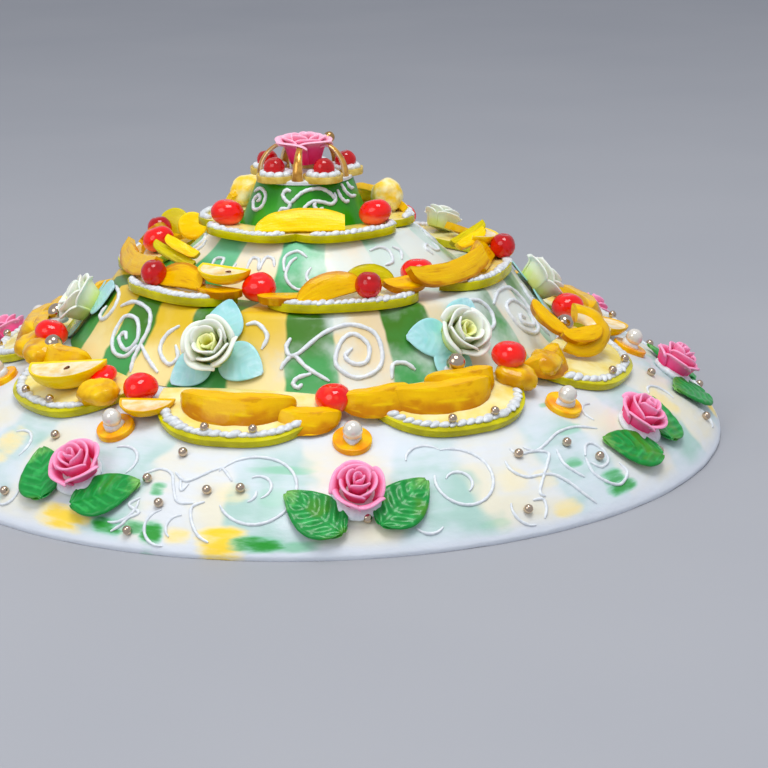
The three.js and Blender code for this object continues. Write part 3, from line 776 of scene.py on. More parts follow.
def tier_body(tier, rounding, sides):
    rings = 9
    top = tier.bottom + tier.height
    profile = [(tier.foot + 0.8, tier.bottom)]
    for row in range(1, rings):
        up = (tier.height - rounding) * row / (rings - 1)
        profile.append((wall_radius(tier, up), tier.bottom + up))
    profile.append((wall_radius(tier, tier.height - rounding) - 0.6 * rounding, top - 0.3 * rounding))
    profile.append((tier.top - 1.4 * rounding, top))
    body = turned(profile, sides)
    roughen(body, 14, 0.8)
    body.data.transform(moved(tier.shift, 0, 0))
    return body


# Piped icing

STRAND_LIFT = 0.3


def pipe(lines, thickness):
    """Strands of icing squeezed along lines, thin where the nozzle lifted off."""
    strand = bpy.data.curves.new("strand", "CURVE")
    strand.dimensions = "3D"
    strand.bevel_depth = thickness / 2
    strand.bevel_resolution = 2
    strand.use_fill_caps = True
    for line in lines:
        spline = strand.splines.new("POLY")
        spline.points.add(len(line) - 1)
        for k, (point, place) in enumerate(zip(spline.points, line)):
            from_end = min(k, len(line) - 1 - k)
            point.co = (*place, 1)
            point.radius = min(1, 0.5 + 0.2 * from_end) * (1 + 0.12 * math.sin(2.1 * k))
    piece = bpy.data.objects.new("strand", strand)
    bpy.context.collection.objects.link(piece)
    hold(piece)
    bpy.ops.object.convert(target="MESH")
    return bpy.context.active_object


def on_glaze(azimuth, radius):
    return around(azimuth, radius, dome_height(radius) + STRAND_LIFT)


def on_tier(tier, azimuth, up):
    point = around(azimuth, wall_radius(tier, up) + STRAND_LIFT, tier.bottom + up)
    return point + Vector((tier.shift, 0, 0))


def dome_arc(azimuth, radius, start, sweep, first, last):
    """A strand on the dome along an arc that opens or closes as it goes, kept off the foot's edge."""
    run = dome_run(radius)
    steps = max(8, int(abs(sweep) * max(first, last) / 130))
    line = []
    for k in range(steps + 1):
        angle = math.radians(start + sweep * k / steps)
        reach = first + (last - first) * k / steps
        out = dome_radius(min(max(run - reach * math.sin(angle), 0), DOME_RUN[-1] - 3))
        line.append(on_glaze(azimuth + math.degrees(reach * math.cos(angle) / out), out))
    return line


def hand_line(spot, marks):
    """A strand led through marks, rounded between them. Spot tells where a mark lies."""
    ends = [marks[0], *marks, marks[-1]]
    line = []
    for before, here, there, after in zip(ends, ends[1:], ends[2:], ends[3:]):
        for k in range(5):
            t = k / 5
            between = (0.5 * (2 * b + (c - a) * t + (2 * a - 5 * b + 4 * c - d) * t * t
                              + (3 * b - a - 3 * c + d) * t ** 3)
                       for a, b, c, d in zip(before, here, there, after))
            line.append(spot(*between))
    line.append(spot(*marks[-1]))
    return line


# Loops on the dome for one third of the way round: azimuth, radius, start, sweep, first and last reach
DOME_LOOPS = [(-8.6, 234, 150, -300, 25, 21), (-8.3, 232, 120, -190, 7.5, 8), (-9.6, 235, 10, -90, 5, 6.5),
              (-30.3, 224, 120, -155, 12, 12), (-27, 246, 15, -110, 13, 12), (-19.6, 254, 110, 170, 11, 11),
              (-17.6, 254, 90, 140, 8, 7), (16, 221, 170, -130, 12, 12), (19.6, 234, 100, -300, 23, 14),
              (19.4, 236, 150, -210, 8, 7), (13.6, 251, 215, 105, 9, 10), (27.3, 253, 155, 120, 10, 11),
              (-50.7, 230, 130, -150, 12, 13), (-45, 252, 20, -120, 9, 8), (50, 215, 60, 150, 9, 8)]

# Tangled strands for the same third, led through places given as azimuth and radius
DOME_STRANDS = [
    [(-25, 229), (-23, 225), (-21, 227), (-20, 234), (-18.7, 242), (-16.5, 242)],
    [(-20.5, 226), (-18.7, 230.5), (-17, 228), (-15, 223), (-13.7, 222), (-12, 229)],
    [(-19.3, 230), (-18.7, 236), (-18, 232)],
    [(-15, 241), (-16.5, 244), (-16.2, 250), (-15, 256), (-13.5, 258.5)],
    [(-24, 242), (-25.2, 246), (-23.4, 249), (-24.6, 252), (-25.2, 255), (-26.4, 258)],
    [(29.5, 221), (30.2, 225.5), (33, 226), (35, 229), (33.5, 235), (32, 240), (30, 247.5), (30.5, 250)],
    [(27.5, 228), (27.6, 234), (29.2, 239), (31.5, 239.5), (33.5, 241), (35, 246), (36.3, 253), (37.5, 258)],
    [(31.7, 222), (33.2, 226), (36, 223), (39.5, 218.5), (43.5, 218.5), (47, 224)],
    [(36.8, 228), (36.2, 236), (37, 242), (38, 246)],
    [(40.6, 236), (42, 231), (43.4, 230.5), (44.4, 236), (43.8, 242), (41.8, 244), (40.6, 240)],
    [(40.4, 237), (39.8, 245), (41, 251), (43, 254), (45.5, 250.5), (45.3, 245)],
    [(28.4, 250.5), (29.9, 251), (29.8, 255), (29, 258.5)]]
DOME_DRAGEES = [(-44, 217), (-45, 252), (-24, 232), (-21, 244), (-24, 257), (-20.5, 214), (-15, 235.5),
                (-10.5, 233.5), (6, 249.5), (30, 226), (27, 254), (39, 226.5), (42.5, 239), (54, 248)]

# How far from a rose a loop's middle, a strand's marks and a dragee stay on the dome's other two thirds
LOOP_ROOM, STRAND_ROOM, DRAGEE_ROOM = 26, 22, 20

# Strands on the walls, led through places given as azimuth and height above the tier's foot
TIER_2_STRANDS = [
    [(-6, 29), (-7, 24), (-5, 20), (2, 31), (9, 35), (15, 30), (16, 19), (14, 11), (9, 8), (5, 14), (5, 21),
     (7, 28), (10, 30), (13, 24), (12, 16), (9, 15), (7, 19), (9, 23)],
    [(-8, 13), (-7, 17), (-5, 20), (-2, 14), (3, 7)],
    [(-1, 11), (-4, 9), (-5, 6), (-4, 4), (-3, 6)],
    [(-53, 18), (-55, 21), (-56, 17), (-51, 13), (-49, 20), (-53, 29), (-59, 28), (-59, 17), (-55, 10),
     (-50, 10), (-48, 17)],
    [(-64, 32), (-58, 37), (-50, 35), (-47, 27), (-47, 18), (-47, 10), (-46, 3)],
    [(-47, 18), (-42, 11), (-38, 6)],
    [(-37, 31), (-40, 25), (-40, 17), (-36, 11), (-34, 15), (-36, 21)],
    [(-18, 35), (-15, 36), (-12, 30), (-13, 23)],
    [(17, 6), (18, 13), (21, 13), (23, 9)],
    [(40, 37), (46, 38), (51, 36), (53, 29), (51, 22), (47, 22), (47, 28)]]
TIER_3_STRANDS = [
    [(-51, 13), (-52, 17), (-47, 18), (-45, 14), (-39, 13), (-38, 17)],
    [(-31, 14), (-31, 20), (-27, 20), (-25, 15), (-24, 21), (-20, 21), (-18, 17)],
    [(-1, 17), (-3, 13), (-2, 9), (-5, 6), (-9, 8), (-12, 13), (-11, 19), (-8, 22)],
    [(-13, 15), (-14, 22), (-8, 25), (-3, 22)],
    [(30, 23), (37, 24), (41, 21), (39, 16), (34, 15)],
    [(45, 23), (48, 20), (45, 16)]]
TIER_4_STRANDS = [
    [(-60, 18), (-55, 20), (-60, 22), (-67, 18), (-60, 13), (-49, 16), (-48, 23), (-60, 26), (-73, 23)],
    [(-16, 26.5), (-22, 27), (-25, 24), (-21, 21), (-16, 19), (-18, 16), (-24, 16), (-27, 13)],
    [(-16, 19), (-11, 22), (-4, 25.5), (6, 27.5), (19, 27.5), (29, 24), (33, 20)],
    [(-4, 14), (1, 18), (9, 20.5), (19, 19.5), (27, 18), (33, 20), (34, 24.5)],
    [(11, 20.5), (9, 17.5), (13, 15), (18, 16.5)],
    [(39, 26), (41, 21), (46, 18), (51, 18.5)],
    [(47, 29), (50, 24), (57, 20.5), (67, 20)],
    [(58, 29), (61, 25.5), (69, 24.5)]]


def clear_of_roses(azimuth, radius, room):
    place = around(azimuth, radius, dome_height(radius))
    roses = [around(turned_to, out, dome_height(out)) for turned_to, out, _ in ROSE_PLACES]
    return all((rose - place).length > room for rose in roses)


def dome_lines():
    """The loops and strands of icing on the dome, left out behind where a rose stands."""
    lines = []
    for third in THIRDS:
        for azimuth, radius, *bow in DOME_LOOPS:
            if third == 0 or clear_of_roses(azimuth + third, radius, LOOP_ROOM):
                lines.append(dome_arc(azimuth + third, radius, *bow))
        for strand in DOME_STRANDS:
            marks = [(azimuth + third, radius) for azimuth, radius in strand]
            if third == 0 or all(clear_of_roses(*mark, STRAND_ROOM) for mark in marks):
                lines.append(hand_line(on_glaze, marks))
    return lines


def scrolls(tier, strands, turns):
    return [hand_line(lambda azimuth, up: on_tier(tier, azimuth + turned_by, up), strand)
            for turned_by in turns for strand in strands]


def bead(radius, flatness=1.0):
    """A sugar bead, a little uneven under its coat."""
    sides, rings = (12, 8) if radius < 3.5 else (20, 14)
    piece = ball(sides, rings, radius)
    mould(piece, lambda point: Vector((point.x, point.y, point.z * flatness)))
    roughen(piece, radius, 0.07 * radius)
    return piece


def icing_shell(length, width):
    """One shell of a piped border: fat where the nozzle started, drawn out behind."""
    piece = ball(10, 7)

    def draw_out(point):
        share = (point.x + 1) / 2
        fat = (0.45 + 0.75 * share ** 0.8) * width / 2
        return Vector((point.x * length / 2, point.y * fat, (point.z * 0.75 + 0.25) * fat))

    mould(piece, draw_out)
    return piece


# Citron slabs with their piped borders

def bulge(across, squareness, least):
    """How far a rounded outline reaches: 1 in the middle, and a least share at either end."""
    return max(least, (1 - min(abs(across), 1) ** squareness) ** (1 / squareness))


def slab_point(garland, across, out_share):
    """A point of a slab's plan, given from -1 to 1 across it and from 0 to 1 outwards."""
    reach = garland.depth * out_share * bulge(across, SLAB_SQUARENESS, SLAB_TIP)
    return garland.half_width * across, garland.inner + reach


def citron_slab(garland, ledge_height):
    piece = sheet(30, 8)

    def press(point):
        x, y = slab_point(garland, math.sin(math.pi * point.x), 0.5 - point.y)
        return Vector((x, -y, ledge_height(math.hypot(x, y)) + SLAB_LIFT))

    mould(piece, press)
    thicken(piece, garland.thickness, 1)
    soften(piece, 1.1)
    return piece


def border_places(garland, ledge_height, pitch, inset):
    """Places along a slab's rounded rim, each turned along the rim."""
    rim = []
    steps, reach = 120, 0.93
    for k in range(steps + 1):
        x, y = slab_point(garland, reach * math.sin(math.pi * (k / steps - 0.5)), 1)
        shrink = 1 - inset / math.hypot(x, y - garland.inner)
        x, y = x * shrink, garland.inner + (y - garland.inner) * shrink
        rim.append(Vector((x, -y, slab_top(garland, ledge_height(math.hypot(x, y))))))
    places = []
    run = 0.0
    for here, there in zip(rim, rim[1:]):
        run += (there - here).length
        if run >= pitch:
            run = 0.0
            along = there - here
            spin = Matrix.Rotation(math.atan2(along.y, along.x), 4, "Z")
            places.append(Matrix.Translation(there) @ spin)
    return places


def lay_garland(prefix, solids, garland, ledge_height, shell, inset, shift=Matrix(), every=0):
    """Lays a ledge's slabs and their borders of shells, and tells where dragees sit on these."""
    places = [shift @ turn(azimuth) for azimuth in middles(garland)]
    slabs = lay_out(citron_slab(garland, ledge_height), places)
    rim = border_places(garland, ledge_height, 0.52 * shell[0], inset)
    shell_places = []
    bead_places = []
    for place in places:
        for k, spot in enumerate(rim):
            sway = Matrix.Rotation(random.uniform(0.0, 0.9), 4, "Z")
            size = Matrix.Scale(random.uniform(0.8, 1.2), 4)
            shell_places.append(place @ spot @ sway @ size)
            if every and k % every == every // 2 and 2 < k < len(rim) - 3:
                bead_places.append(place @ spot @ lifted(4.2))
    shells = lay_out(icing_shell(*shell), shell_places)
    settle(f"{prefix}_slabs", slabs, *solids, citron_finish)
    settle(f"{prefix}_borders", shells, *solids, border_finish)
    return bead_places


# Candied peel and fruit

PEEL_TIP = 0.16


def peel_plan(across, inwards, length, depth, bow, squareness):
    """A point of a slice's plan: round in front, cut straight behind, bent round the ledge it lies on."""
    x = length / 2 * across
    y = depth * (1 - bulge(across, squareness, PEEL_TIP) * (1 - inwards))
    return x, y + x * x / (2 * bow)


def peel_slice(length, depth, swell, thickness, bow, squareness):
    """A half-moon of peel, swollen in the middle."""
    piece = sheet(24, 8)

    def shape(point):
        across, inwards = math.sin(math.pi * point.x), point.y + 0.5
        swollen = swell * (1 - across * across) * math.sin(math.pi * (0.2 + 0.7 * inwards))
        return Vector((*peel_plan(across, inwards, length, depth, bow, squareness), swollen))

    mould(piece, shape)
    thicken(piece, thickness, 1)
    soften(piece, 0.9)
    roughen(piece, 8, 1.3)
    return piece


# A wedge of peel in section, from its outer foot over its crest and back: shares of depth and height
WEDGE_SECTION = [(0, 0), (0.2, 0.38), (0.4, 0.72), (0.6, 1.0), (0.8, 0.92), (1.0, 0.82), (1.0, 0.4),
                 (1.0, 0), (0.5, 0)]


def peel_wedge(length, depth, height, bow, squareness):
    """A wedge of candied peel: round in plan outside, cut straight behind, with a crisp crest."""
    corners = WEDGE_SECTION + WEDGE_SECTION[:1]
    piece = sheet(32, 2 * len(WEDGE_SECTION))

    def shape(point):
        across, about = math.sin(math.pi * point.x), (point.y + 0.5) * len(WEDGE_SECTION)
        k = min(int(about + 1e-6), len(WEDGE_SECTION) - 1)
        inwards, up = (a + (b - a) * (about - k) for a, b in zip(corners[k], corners[k + 1]))
        high = height * bulge(across, 4, 0.35) * up
        return Vector((*peel_plan(across, inwards, length, depth, bow, squareness), high))

    mould(piece, shape)
    with faces_of(piece):
        bpy.ops.mesh.remove_doubles(threshold=0.02)
        close_up()
    soften(piece, 0.8, sharp=40)
    roughen(piece, 9, 1.6)
    return piece


def cut_end(piece, at):
    """Cuts a piece square at its right end."""
    with faces_of(piece):
        cut((1, 0, 0), at)
    return piece


def peel_curl(reach, width, skin, flesh):
    """A slice of candied fruit curled into an open ring, pale along its inner side."""
    gap_start, gap_end = 72, 215
    piece = ring(48, 16, reach, width / 2)

    def in_gap(centre, normal):
        return gap_start < math.degrees(math.atan2(centre.y, centre.x)) % 360 < gap_end

    with faces_of(piece, in_gap):
        bpy.ops.mesh.delete(type="FACE")
        close_up()
    two_tone(piece, skin, flesh, lambda centre, normal: centre.xy.length < reach - 0.2 * width)
    mould(piece, lambda point: Vector((point.x * 1.2, point.y, point.z * 0.6)))
    roughen(piece, 8, 2.4)
    return piece


def candied_disc(radius, thickness):
    """A round slice of candied peel with a soft rim."""
    piece = coin(32, radius, thickness)
    with faces_of(piece, lambda centre, normal: abs(normal.z) > 0.9):
        bpy.ops.mesh.inset(thickness=0.2 * radius)
        bpy.ops.mesh.inset(thickness=0.3 * radius)
    soften(piece, 1.4, 3, 40)
    roughen(piece, 6, 1.2)
    return piece


def orange_disc(radius, thickness):
    """A candied disc with a rounded rim and a shallow dish, that lies a little in the glaze."""
    piece = coin(36, radius, thickness, height=1.0)
    with faces_of(piece, facing_up):
        sink(2.2, 0.7)
        bpy.ops.mesh.inset(thickness=3.0)
    soften(piece, 1.2, 3, 30)
    return piece


def fruit_boat(length, width, height, skin, flesh):
    """A wedge of candied fruit lying on its rind: round below, with pale flesh on its cut face."""
    piece = ball(40, 20)
    with faces_of(piece):
        cut((0, 0, 1))
        cut((0, 1, 0))
        bpy.ops.mesh.select_all(action="SELECT")
        bpy.ops.transform.resize(value=(length / 2, width, height), center_override=(0, 0, 0))
        bpy.ops.transform.translate(value=(0, width, height))
    with faces_of(piece, facing_up):
        sink(1.8, 0.7)

    def is_flesh(centre, normal):
        sunk = facing_up(centre, normal) and centre.z < height - 0.4
        return sunk or normal.y > 0.9

    two_tone(piece, skin, flesh, is_flesh)
    soften(piece, 0.6, sharp=35)
    roughen(piece, 9, 1.2)
    return piece


def fruit_chunk(length, width, height):
    """A rough-cut lump of candied fruit."""
    piece = add(bpy.ops.mesh.primitive_ico_sphere_add, subdivisions=4, radius=1)

    def square_up(point):
        cornered = [math.copysign(abs(part) ** 0.84, part) for part in point]
        return Vector((cornered[0] * length / 2, cornered[1] * width / 2, (cornered[2] + 1) * height / 2))

    mould(piece, square_up)
    roughen(piece, 9, 4.5)
    return piece


def candied_cherry(radius, flatness):
    """A cherry with the dent of its stone and the creases that sugar leaves."""
    piece = ball(24, 14, radius)

    def dent(point):
        top = max(point.z / radius, 0)
        near_axis = max(1 - math.hypot(point.x, point.y) / (0.5 * radius), 0)
        crease = 1 + 0.035 * math.cos(3 * math.atan2(point.y, point.x) + 0.6)
        sunk = point.z - 0.22 * radius * top * near_axis ** 1.5
        return Vector((point.x * crease, point.y * crease, sunk * flatness))

    mould(piece, dent)
    roughen(piece, 7, 0.7)
    return piece


def ball_cup():
    """A rough ring of icing that holds a large silver ball."""
    piece = ring(28, 10, 4.4, 2.4)
    roughen(piece, 3, 1.2)
    return piece


# Roses and leaves

def petal(half_turn, foot, reach, rise, flare, drop):
    """One petal that stands round a rose's axis and rolls outwards at its wavy rim."""
    piece = sheet(11, 7)
    sway = random.uniform(0, 6)

    def shape(point):
        aside, up = 2 * point.x, point.y + 0.5
        rim = max(up - 0.55, 0) / 0.45
        out = foot + (reach - foot) * up ** 0.7 + flare * rim ** 2
        out *= 1 + 0.06 * aside + 0.03 * rim * math.sin(4 * aside + sway)
        high = rise * up ** 0.85 * (1 - 0.2 * abs(aside) ** 3) - drop * rim ** 2.5
        angle = half_turn * aside * (1 - 0.2 * up * aside * aside)
        return Vector((out * math.sin(angle), -out * math.cos(angle), high))

    mould(piece, shape)
    thicken(piece, 1.4, 0)
    fill_out(piece)
    return piece


def rose(rings):
    """A rose of rings of petals: how many, where the first stands, and each petal's shape."""
    whole = []
    for count, first, *shape in rings:
        for azimuth in spread(count, first):
            lean = Matrix.Rotation(random.uniform(-0.06, 0.06), 4, "X")
            whole += lay_out(petal(*shape), [turn(azimuth + random.uniform(-6, 6)) @ lean])
    hold(*whole)
    bpy.ops.object.join()
    return bpy.context.active_object


# Rings of petals from the heart outwards: count, first azimuth, half turn, foot, reach, rise, flare, drop
OPEN_ROSE = [(2, 40, 1.9, 1.0, 2.8, 20.2, 0.3, 0.3), (3, 10, 1.3, 3.2, 6.0, 20.0, 0.9, 1.0),
             (3, 70, 1.35, 6.0, 9.8, 17.6, 1.4, 2.0), (5, 25, 0.92, 9.0, 14.0, 13.6, 2.0, 2.6)]
WAFER_ROSE = [(3, 100, 1.25, 4.6, 7.8, 18.6, 1.0, 1.0), (3, 40, 1.25, 7.0, 10.8, 17.8, 1.8, 1.8),
              (4, 160, 1.0, 8.8, 13.4, 15.4, 2.6, 2.6)]
WAFER_HEART = [(2, 20, 1.7, 1.2, 3.6, 16.0, 0.4, 0.4), (2, 110, 1.5, 1.8, 5.0, 15.0, 0.5, 0.5)]
CROWN_ROSE = [(2, 20, 1.8, 1.0, 3.0, 20.0, 0.6, 0.4), (4, 60, 1.05, 4.0, 7.6, 19.6, 1.2, 1.0),
              (5, 10, 1.0, 7.0, 10.6, 19.2, 3.2, 1.4), (5, 35, 1.05, 8.6, 13.2, 18.8, 5.6, 3.6)]

# Leaves: length, width, thickness and relief
ROSE_LEAF = (41, 30, 1.8, 1.9)
WAFER_LEAF = (29, 26, 0.9, 0.5)

# A pink rose's two leaves: where the stem starts, aside and below the rose, and where the leaf points
ROSE_LEAVES = [(11, -21, 46), (-10, -25, 134)]


def leaf(length, width, thickness, relief):
    """A pressed leaf with a rounded rim, a midrib and side veins."""
    piece = sheet(14, 28)

    def press(point):
        aside, along = 2 * point.x, point.y + 0.5
        fullness = 0.06 + 0.94 * math.sin(math.pi * along ** 0.75) ** 0.72
        veins = math.cos(2 * math.pi * LEAF_VEINS * (along - 0.275 * abs(aside)))
        inside = max(1 - abs(aside) ** 4, 0) * math.sin(math.pi * min(along + 0.04, 1))
        rim = math.exp(-((abs(aside) - 0.86) / 0.16) ** 2)
        midrib = math.exp(-(aside / 0.1) ** 2)
        pressed = 0.45 * veins * inside * (1 - midrib) + 0.9 * rim - 0.5 * midrib + 0.9 * (1 - aside * aside)
        return Vector((length * along, -width / 2 * aside * fullness, relief * pressed + 0.6))

    mould(piece, press)
    thicken(piece, thickness, -1)
    fill_out(piece)
    return piece


def leaf_on(place, kind, stem, droop):
    """A leaf from where its stem starts, bent over the round side that it lies on."""
    blade = leaf(*kind)
    blade.data.transform(stem)
    mould(blade, lambda point: Vector((point.x, point.y, point.z - point.x ** 2 / (2 * droop))))
    blade.data.transform(place)
    return blade


def rose_leaves():
    blades = []
    for azimuth, radius, spin in ROSE_PLACES:
        place = on_dome(azimuth, radius, spin)
        droop = radius / math.sin(math.radians(dome_slope(radius)))
        for aside, below, angle in ROSE_LEAVES:
            blades.append(leaf_on(place, ROSE_LEAF, moved(aside, below, 1.4) @ turn(angle), droop))
    return blades


def wafer_leaves():
    blades = []
    droop = wall_radius(TIER_2, WAFER_UP)
    for k, azimuth in enumerate(WAFER_AZIMUTHS):
        place = on_wall(TIER_2, azimuth, WAFER_UP)
        for angle in WAFER_LEAF_ANGLES[k % 2]:
            blades.append(leaf_on(place, WAFER_LEAF, turn(angle) @ moved(4, 0, 2.2), droop))
    return blades


# The crown's own pieces

def crown_tray(radius, thickness):
    """A shallow round tray with a raised rim."""
    piece = coin(40, radius, thickness, height=2.7)
    with faces_of(piece, facing_up):
        sink(1.2, 1.2)
    soften(piece, 0.5, sharp=35)
    return piece


def crown_strip():
    """An arched strip of peel that rises from the rim to a point beside the rose."""
    piece = sheet(7, 15)

    def arch(point):
        along = point.y + 0.5
        angle = math.radians(-8 + 80 * along)
        width = 4.8 * (1 - along) ** 1.5 + 3.0
        out = 9 + 20.4 * math.cos(angle) - 1.2 * (2 * point.x) ** 2
        return Vector((point.x * width, -out, 2.6 + 20.0 * math.sin(angle)))

    mould(piece, arch)
    thicken(piece, 2.2, 0)
    fill_out(piece)
    return piece


# The solids that pieces stand for, with the slot listed for most of them
DOME = (["dome_base"], "glaze")
LOW = (numbered("citron_low", GARLAND_1.count), "candied_citron")
MID = (numbered("citron_mid", GARLAND_2.count), "candied_citron")
TOP = (["citron_top"], "candied_citron")
ROSES = (numbered("rose_spray", len(ROSE_PLACES)), "pink_sugar")
WAFERS = ([*numbered("wafer_flower", len(WAFER_AZIMUTHS)), "ledge_rose"], "white_wafer")
PLATE = (["crown_plate"], "pale_gold")

# Tiers and their scrolls: node, tier, rounding, sides, slot, finish, strands, their turns and thickness
TIERS = [("tier_2", TIER_2, 3, 200, "striped_glaze", tier_2_finish, TIER_2_STRANDS, THIRDS, 2.8),
         ("tier_3", TIER_3, 2.5, 160, "striped_glaze", tier_3_finish, TIER_3_STRANDS, THIRDS, 2.2),
         ("tier_4", TIER_4, 1.5, 96, "green_marzipan", tier_4_finish, TIER_4_STRANDS, (0, 180), 2.5)]
settle("dome_cake", [dome_body()], *DOME, glaze)
for node, tier, rounding, sides, slot, finish, *_ in TIERS:
    settle(f"{node}_cake", [tier_body(tier, rounding, sides)], [node], slot, finish)
settle("dome_piping", [pipe(dome_lines(), 1.9)], *DOME, icing_finish)
for node, tier, _, _, slot, _, strands, turns, thickness in TIERS:
    settle(f"{node}_piping", [pipe(scrolls(tier, strands, turns), thickness)], [node], slot, icing_finish)

# What lies on the dome
dragee_places = [on_dome(azimuth + third, radius, lift=2.0)
                 for third in THIRDS for azimuth, radius in DOME_DRAGEES
                 if third == 0 or clear_of_roses(azimuth + third, radius, DRAGEE_ROOM)]
scatter("dome_dragees", bead(DOME_BEAD), dragee_places, *DOME, silver_finish)
DISC_RADIUS, PEARL_LIFT = 203, 8.8
disc_places = [on_dome(azimuth, DISC_RADIUS) for azimuth in joints(GARLAND_1)]
pearl_places = [place @ lifted(PEARL_LIFT) for place in disc_places]
scatter("orange_discs", orange_disc(*ORANGE_DISC), disc_places, ["dome_base"], "candied_citron", disc_finish)
swirl = icing_shell(*SWIRL)
swirl.data.transform(lifted(2.4))
swirl_places = [place @ turn(random.uniform(0, 360)) for place in disc_places]
scatter("disc_icing", swirl, swirl_places, *DOME, icing_finish)
scatter("disc_pearls", bead(PEARL), pearl_places, *DOME, pearl_finish)


# First ledge
bead_places = lay_garland("low", LOW, GARLAND_1, dome_height, LOW_SHELL, 3.2, every=5)
scatter("low_border_dragees", bead(BORDER_BEAD), bead_places, *LOW, silver_finish)

# What lies on the first ledge's slabs, which come in four kinds: offset, radius, lift, tip, spin
LOW_KINDS = (0, 1, 2, 0, 1, 2, 0, 3, 2)
BIG_WEDGES = [[(-2, 196, -0.5, 0, 0)], [], [(0, 198.5, -0.5, 0, 0)], []]
SMALL_WEDGES = [[(3.7, 186, 1, 0, -3), (-14, 192, 0, 0, 8)], [(-13, 188, 0, 0, 8)], [],
                [(-8, 184, 0, 0, 10)]]
SHORT_WEDGES = [[], [], [(12.2, 201, -3, 0, -5)], []]
PALE_BOATS = [[], [], [], [(5.5, 200, 0.5, -12, 32)]]
SMALL_BOATS = [[], [], [(-15.5, 202, -1.5, -14, 14)], []]
CHUNKS = [[(15.3, 179, -3.5, 0, -50)], [(-15, 177, -3, 0, 30)], [],
          [(12.5, 189, -3, 0, 20), (-16, 180, -2, 0, 0)]]
BALLS = [[(4, 164, 6)], [(6.5, 163, 4)], [], [(-14.5, 171, 3)]]
CURL_KIND, CURL_RADIUS, CURL_LIFT, CURL_FACE, CURL_LEAN = 1, 178, 14, -35, 45

# Wedges of peel on the first ledge: length, depth and height, and the places of each size
LOW_WEDGES = [((68, 21, 11), BIG_WEDGES), ((44, 19, 10), SMALL_WEDGES), ((40, 18, 8), SHORT_WEDGES)]
WEDGE_BOW, WEDGE_SQUARENESS = 190, 2.2


def on_slabs(kinds, garland, spot, places_by_kind):
    """The places of one sort of topping on all the slabs of a ledge. Spot tells where one lies."""
    return [spot(middle + offset, *place)
            for kind, middle in zip(kinds, middles(garland)) for offset, *place in places_by_kind[kind]]


def on_slab_1(azimuth, radius, lift=0.0, tip=0.0, spin=0.0):
    """A place on the slabs of the first ledge, lying on their slope or tipped from it."""
    height = slab_top(GARLAND_1, dome_height(radius))
    return seat(azimuth, radius, height, dome_slope(radius) + tip, spin) @ lifted(lift)


def low_places(places_by_kind):
    return on_slabs(LOW_KINDS, GARLAND_1, on_slab_1, places_by_kind)


low_slices = []
for size, places_by_kind in LOW_WEDGES:
    low_slices += lay_out(peel_wedge(*size, WEDGE_BOW, WEDGE_SQUARENESS), low_places(places_by_kind))
curl_height = slab_top(GARLAND_1, dome_height(CURL_RADIUS)) + CURL_LIFT
curl_places = [propped(middle, CURL_RADIUS, curl_height, middle + CURL_FACE, CURL_LEAN)
               for kind, middle in zip(LOW_KINDS, middles(GARLAND_1)) if kind == CURL_KIND]
low_slices += lay_out(peel_slice(*CURL_SLICE), [place @ moved(-2, -12.5, 2) for place in curl_places])
low_slices += lay_out(peel_slice(*CURL_END),
                      [place @ moved(-22, 8, -2) @ turn(-62) for place in curl_places])
settle("low_slices", low_slices, *LOW, peel_finish)
low_boats = lay_out(fruit_boat(*PALE_BOAT, lemon_finish, flesh_finish), low_places(PALE_BOATS))
low_boats += lay_out(fruit_boat(*SMALL_BOAT, peel_finish, flesh_finish), low_places(SMALL_BOATS))
low_boats += lay_out(peel_curl(12.6, 13, peel_finish, flesh_finish), curl_places)
settle("low_boats", low_boats, *LOW)
scatter("low_chunks", fruit_chunk(*LOW_CHUNK), low_places(CHUNKS), *LOW, amber_finish)
cup_places = low_places(BALLS)
ball_places = [place @ lifted(5.2) for place in cup_places]
scatter("ball_cups", ball_cup(), cup_places, *LOW, border_finish)
scatter("silver_balls", bead(SILVER_BALL), ball_places, *LOW, silver_finish)
seed_places = [place @ moved(3, 13, 15.6) @ turn(50) for place in low_places(PALE_BOATS)]
scatter("low_seeds", icing_shell(*LOW_SEED), seed_places, *LOW, seed_finish)

# Cherries near the joints: how far from the joint, radius and height. A half one lies beside a chunk
HALF_CHERRY_PLACE = (-45.8, 176, 68.6, dome_slope(176))
LOW_CHERRIES = [(-2.3, 178, 67), (-4.5, 174, 77.5), (4.1, 164, 74.3), (-2.3, 178, 67), (-4.5, 174, 77.5),
                (-0.5, 178, 67), (-2.3, 178, 67), (-2.5, 169.3, 73.5), (-0.5, 178, 67)]
low_cherry_places = [seat(joint + offset, *place)
                     for joint, (offset, *place) in zip(joints(GARLAND_1), LOW_CHERRIES)]
low_cherries = lay_out(candied_cherry(*CHERRY), tumbled(low_cherry_places))
low_cherries += lay_out(candied_cherry(*HALF_CHERRY), [seat(*HALF_CHERRY_PLACE)])
settle("low_cherries", low_cherries, numbered("cherry_low", 10), "candied_cherry", cherry_finish)


# Second ledge
lay_garland("mid", MID, GARLAND_2, lambda radius: TIER_3.bottom, MID_SHELL, 3)

# What lies on the second ledge's slabs, which come in three kinds: offset, radius, lift, tip, spin
MID_KINDS = (0, 1, 2, 1, 0, 1)
STANDING_SLICES = [[(-5, 115, 0, 56, 16)], [(4, 112, 0, 48, 4)], []]
LONG_SLICES = [[], [(-22, 117, -0.5, 56, 2)], []]
BARS = [[(-19, 123, -2, 4, 4), (20, 119, -0.5, 26, 3)], [(19, 121, -1, 6, -4)], [(-14, 117, -0.5, 30, 0)]]
MID_BOATS = [[], [(19, 118, 3, 8, -4)], []]
OLIVE_SLICE_PLACE = (18, 105, 5, 62, -3)

